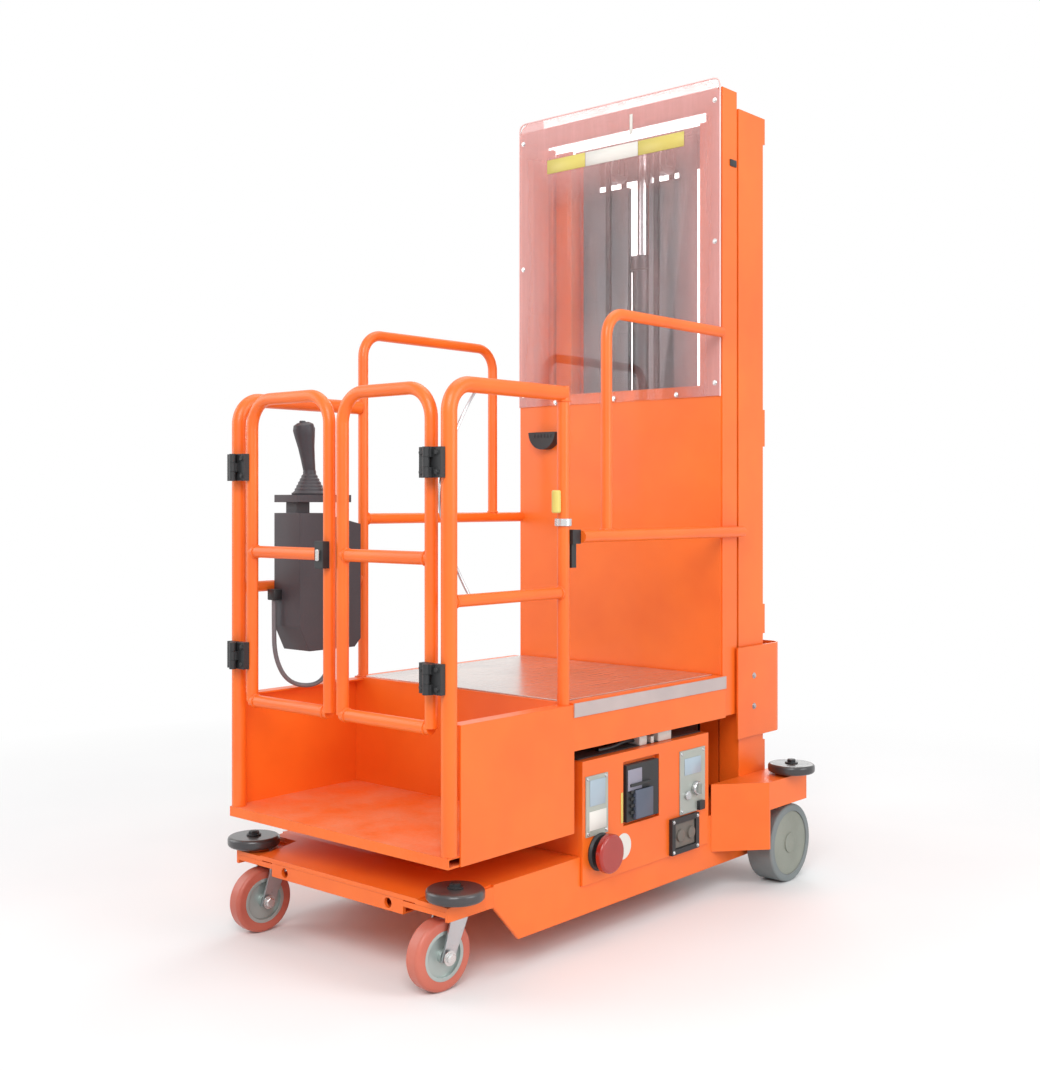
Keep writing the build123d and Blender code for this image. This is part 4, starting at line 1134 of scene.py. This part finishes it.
# %% [markdown]
# The joystick is a ribbed rubber boot with a grip that leans forward and swells at the top. The packed
# stick is a plain cone and ball of the same height, and this one stands in the same spot. The ribs could
# be stacked rings. One turned profile that steps in and out makes them in one piece, and a loop writes
# its steps.

# %% Joystick
BOOT_RIBS, RIB_STEP, RIB_TAPER = 6, 0.008, 0.004
GRIP_FOOT = 0.056
GRIP_LEAN = (0, -0.17, 1)
stick_low, stick_high = (Vector(corner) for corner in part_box("joystick"))
stick_foot = Vector(((stick_low.x + stick_high.x) / 2, (stick_low.y + stick_high.y) / 2, stick_low.z))
boot = [(0.043, 0), (0.044, 0.004)]
for k in range(BOOT_RIBS):
    boot += [(0.040 - RIB_TAPER * k, 0.006 + RIB_STEP * k), (0.036 - RIB_TAPER * k, 0.010 + RIB_STEP * k)]
boot += [(0.016, GRIP_FOOT), (0.015, 0.060)]
grip = [(0.014, 0), (0.015, 0.004), (0.017, 0.03), (0.020, 0.06), (0.025, 0.09), (0.027, 0.104),
        (0.024, 0.116), (0.014, 0.1215)]
button = [(0.008, 0), (0.008, 0.004), (0.006, 0.006)]
stick = [turned(boot, stick_foot, UP),
         turned(grip, stick_foot + Vector((0, 0, GRIP_FOOT)), GRIP_LEAN),
         turned(button, stick_foot + Vector((0, -0.022, 0.174)), UP, 24)]
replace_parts(piece("joystick_grip", stick, "carriage", console_plastic), "joystick")
print("joystick has", BOOT_RIBS, "ribs")

# %% [markdown]
# A short grey lead leaves the console through a gland at its front, hangs in a bow and goes back in at
# the underside. It could be one more bent bar. As a live curve led by a few given places it sags as a
# stiff cable does.

# %% Console gland and lead
LEAD_THICK = 0.011
LEAD_ROUTE = [
    # from the gland across, from the case's front, height, in millimetres
    (0, -14, 780),
    (0, -14, 730),
    (2, -14, 640),
    (6, 26, 574),
    (12, 110, 560),
    (14, 150, 600),
    (14, 150, 657),
]
case_low = Vector(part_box("console_housing")[0])
gland_x = case_low.x + 0.016
gland_place = Vector((gland_x, case_low.y, 0.793))
gland_low = gland_place - Vector((0.013, 0.024, 0.013))
gland_high = gland_place + Vector((0.013, 0.0005, 0.013))
gland = [soft_block(gland_low, gland_high, 0.002)]
piece("console_gland", gland, "carriage", black_plastic)

route = [Vector((gland_x + dx / 1000, case_low.y + dy / 1000, z / 1000)) for dx, dy, z in LEAD_ROUTE]
lead_line = smooth_line("console_lead", route, LEAD_THICK / 2, steps=12, roundness=4)
lead = bpy.data.objects.new("console_lead", lead_line)
bpy.context.scene.collection.objects.link(lead)
lead_line.materials.append(grey_lead)
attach(lead, "carriage")

# %% [markdown]
# Small bright and coloured fittings sit at the gate and on the rear post: the latch's bolt, a collar, and
# a yellow grip on two short stays over the rail clamp. They are turned parts and flat strips, too small
# for the solid model.

# %% Latch bolt, collar and grip
GRIP_Y = 361
BOLT_PROFILE = [(0.004, 0), (0.005, 0.001), (0.005, 0.024), (0.004, 0.025)]
COLLAR_PROFILE = [(0.0155, 0), (0.0195, 0.001), (0.0195, 0.017), (0.0155, 0.018)]
SLEEVE_PROFILE = [(0.008, 0), (0.0105, 0.003), (0.0105, 0.048), (0.008, 0.051)]
piece("latch_bolt", [turned(BOLT_PROFILE, at(-20, -19, 887), UP, 24)], "gate_left", bright_screw)
piece("clamp_collar", [turned(COLLAR_PROFILE, at(POST_X, REAR_POST, 962), UP)], "carriage", bright_screw)
piece("yellow_grip", [turned(SLEEVE_PROFILE, at(POST_X, GRIP_Y, 992), UP, 32)], "carriage", yellow_label)
stays = [soft_block(at(POST_X - 4, GRIP_Y + 8, z), at(POST_X + 4, REAR_POST - 12, z + 5), 0.001)
         for z in (996, 1034)]
piece("grip_stays", stays, "carriage", zinc_plate)
print("latch bolt, collar and grip in place")

# %% [markdown]
# Three last details finish the basket and the mast: a thin bent wire inside the right side frame, the
# slots in the alarm's face, and a small dark tab on the carriage's upright. The slots could be cut into
# the alarm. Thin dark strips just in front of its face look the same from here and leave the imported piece
# whole.

# %% Wire, alarm slots and upright tab
WIRE_RADIUS = 0.0035
WIRE_LINE = [(346, 96, 1246), (334, 94, 1232), (324, 52, 1150), (324, 4, 1036), (324, 40, 920),
             (334, 76, 842), (346, 79, 824)]
wire = bar([at(*place) for place in WIRE_LINE], WIRE_RADIUS)
piece("frame_wire", [wire], "carriage", zinc_plate)
SLOT_COUNT, SLOT_STEP, SLOT_WIDE = 6, 12, 6
slot_starts = [-272 + SLOT_STEP * k for k in range(SLOT_COUNT)]
slots = [soft_block(at(x, 1006.6, 1202), at(x + SLOT_WIDE, 1007.6, 1212), 0.0004) for x in slot_starts]
piece("alarm_slots", slots, "carriage", dark_steel)
tab = [soft_block(at(350, 1076, 1903), at(353, 1106, 1921), 0.001)]
piece("upright_tab", tab, "carriage", dark_steel)
print("alarm slots:", len(slots))

# %% [markdown]
# Now the room. The background's white belongs to what the camera and clear or shiny surfaces see of the
# world. A plain white world would also light the truck from all sides and wash its orange out. So rays
# are told apart: those from the camera, mirrors and glass meet pure white, and all others meet a gentler
# world.


# %% White world
def pale_everywhere(tree, soft, white_kind):
    """White for rays from the camera, mirrors and glass, and the given softer light for all others."""
    rays = tree.nodes.new("ShaderNodeLightPath")
    seen = maths(tree, "MAXIMUM", rays.outputs["Is Camera Ray"], rays.outputs["Is Glossy Ray"])
    seen = maths(tree, "MAXIMUM", seen, rays.outputs["Is Transmission Ray"])
    white = tree.nodes.new(white_kind)
    white.inputs["Color"].default_value = (1, 1, 1, 1)
    mix = tree.nodes.new("ShaderNodeMixShader")
    tree.links.new(seen, mix.inputs[0])
    tree.links.new(soft, mix.inputs[1])
    tree.links.new(white.outputs[0], mix.inputs[2])
    return mix.outputs[0]


SKY_STRENGTH = 0.43
world = bpy.data.worlds.new("studio")
world.use_nodes = True
bpy.context.scene.world = world
sky = world.node_tree.nodes["Background"]
sky.inputs["Color"].default_value = (1, 1, 1, 1)
sky.inputs["Strength"].default_value = SKY_STRENGTH
world.node_tree.links.new(
    pale_everywhere(world.node_tree, sky.outputs[0], "ShaderNodeBackground"),
    world.node_tree.nodes["World Output"].inputs["Surface"],
)
print("world lights the truck at", SKY_STRENGTH)

# %% [markdown]
# The truck stands on a pale floor that takes soft shadows. A floor that ended would draw a line across
# the picture, and one without end would turn grey in the distance. This one fades from its own shading
# near the truck into the same white as the background.


# %% Floor
FLOOR_HALF = 9.0
FADE_START = 1.3
FADE_END = 3.2


def make_pale_floor_finish():
    """Matt and pale, fading to white with the distance from the truck."""
    material = bpy.data.materials.new("pale_floor")
    material.use_nodes = True
    tree = material.node_tree
    shader = tree.nodes["Principled BSDF"]
    shader.inputs["Roughness"].default_value = 0.85
    shader.inputs["Specular IOR Level"].default_value = 0.2
    clouds = window(tree, noise(tree, 0.8, 3.0), 0.3, 0.7)
    shade = blend_colour(tree, clouds, linear(236, 236, 237), linear(242, 242, 242))
    tree.links.new(shade, shader.inputs["Base Color"])
    distance = tree.nodes.new("ShaderNodeVectorMath")
    distance.operation = "LENGTH"
    tree.links.new(tree.nodes.new("ShaderNodeTexCoord").outputs["Object"], distance.inputs[0])
    far = window(tree, distance.outputs["Value"], FADE_START, FADE_END)
    fade = tree.nodes.new("ShaderNodeMixShader")
    tree.links.new(far, fade.inputs[0])
    tree.links.new(shader.outputs[0], fade.inputs[1])
    tree.links.new(pale_everywhere(tree, shader.outputs[0], "ShaderNodeEmission"), fade.inputs[2])
    tree.links.new(fade.outputs[0], tree.nodes["Material Output"].inputs["Surface"])
    return material


floor_mesh = bpy.data.meshes.new("floor")
corners = [(x * FLOOR_HALF, y * FLOOR_HALF, 0) for x, y in ((-1, -1), (1, -1), (1, 1), (-1, 1))]
floor_mesh.from_pydata(corners, [], [(0, 1, 2, 3)])
floor_mesh.materials.append(make_pale_floor_finish())
floor = bpy.data.objects.new("floor", floor_mesh)
bpy.context.scene.collection.objects.link(floor)
print("floor is", 2 * FLOOR_HALF, "m across")

# %% [markdown]
# Large soft lamps model the shapes, as in a photo studio. One strong sun would give hard shadows that the
# product picture doesn't have. The key lamp stands in front and to the right, fill and side lamps open
# the shadows, and the top and back lamps draw bright lines on rails and edges.

# %% Lamps
LAMPS = [
    # name, place, aim, size in metres, power in watts
    ("key", (2.6, -3.6, 3.6), (0.0, 0.0, 0.9), 2.6, 150),
    ("fill", (-3.4, -2.4, 2.4), (0.0, 0.0, 0.8), 3.0, 56),
    ("side", (4.2, 0.8, 2.2), (0.0, 0.2, 0.8), 2.4, 70),
    ("top", (0.0, 0.4, 4.6), (0.0, 0.0, 0.0), 3.0, 46),
    ("back", (-1.6, 4.0, 2.6), (0.0, 0.0, 1.0), 2.6, 56),
]
for name, place, aim, size, power in LAMPS:
    data = bpy.data.lights.new(name, "AREA")
    data.size = size
    data.energy = power
    lamp = bpy.data.objects.new(name, data)
    lamp.location = place
    lamp.rotation_euler = (Vector(aim) - Vector(place)).to_track_quat("-Z", "Y").to_euler()
    bpy.context.scene.collection.objects.link(lamp)
print("lamps:", len(LAMPS))
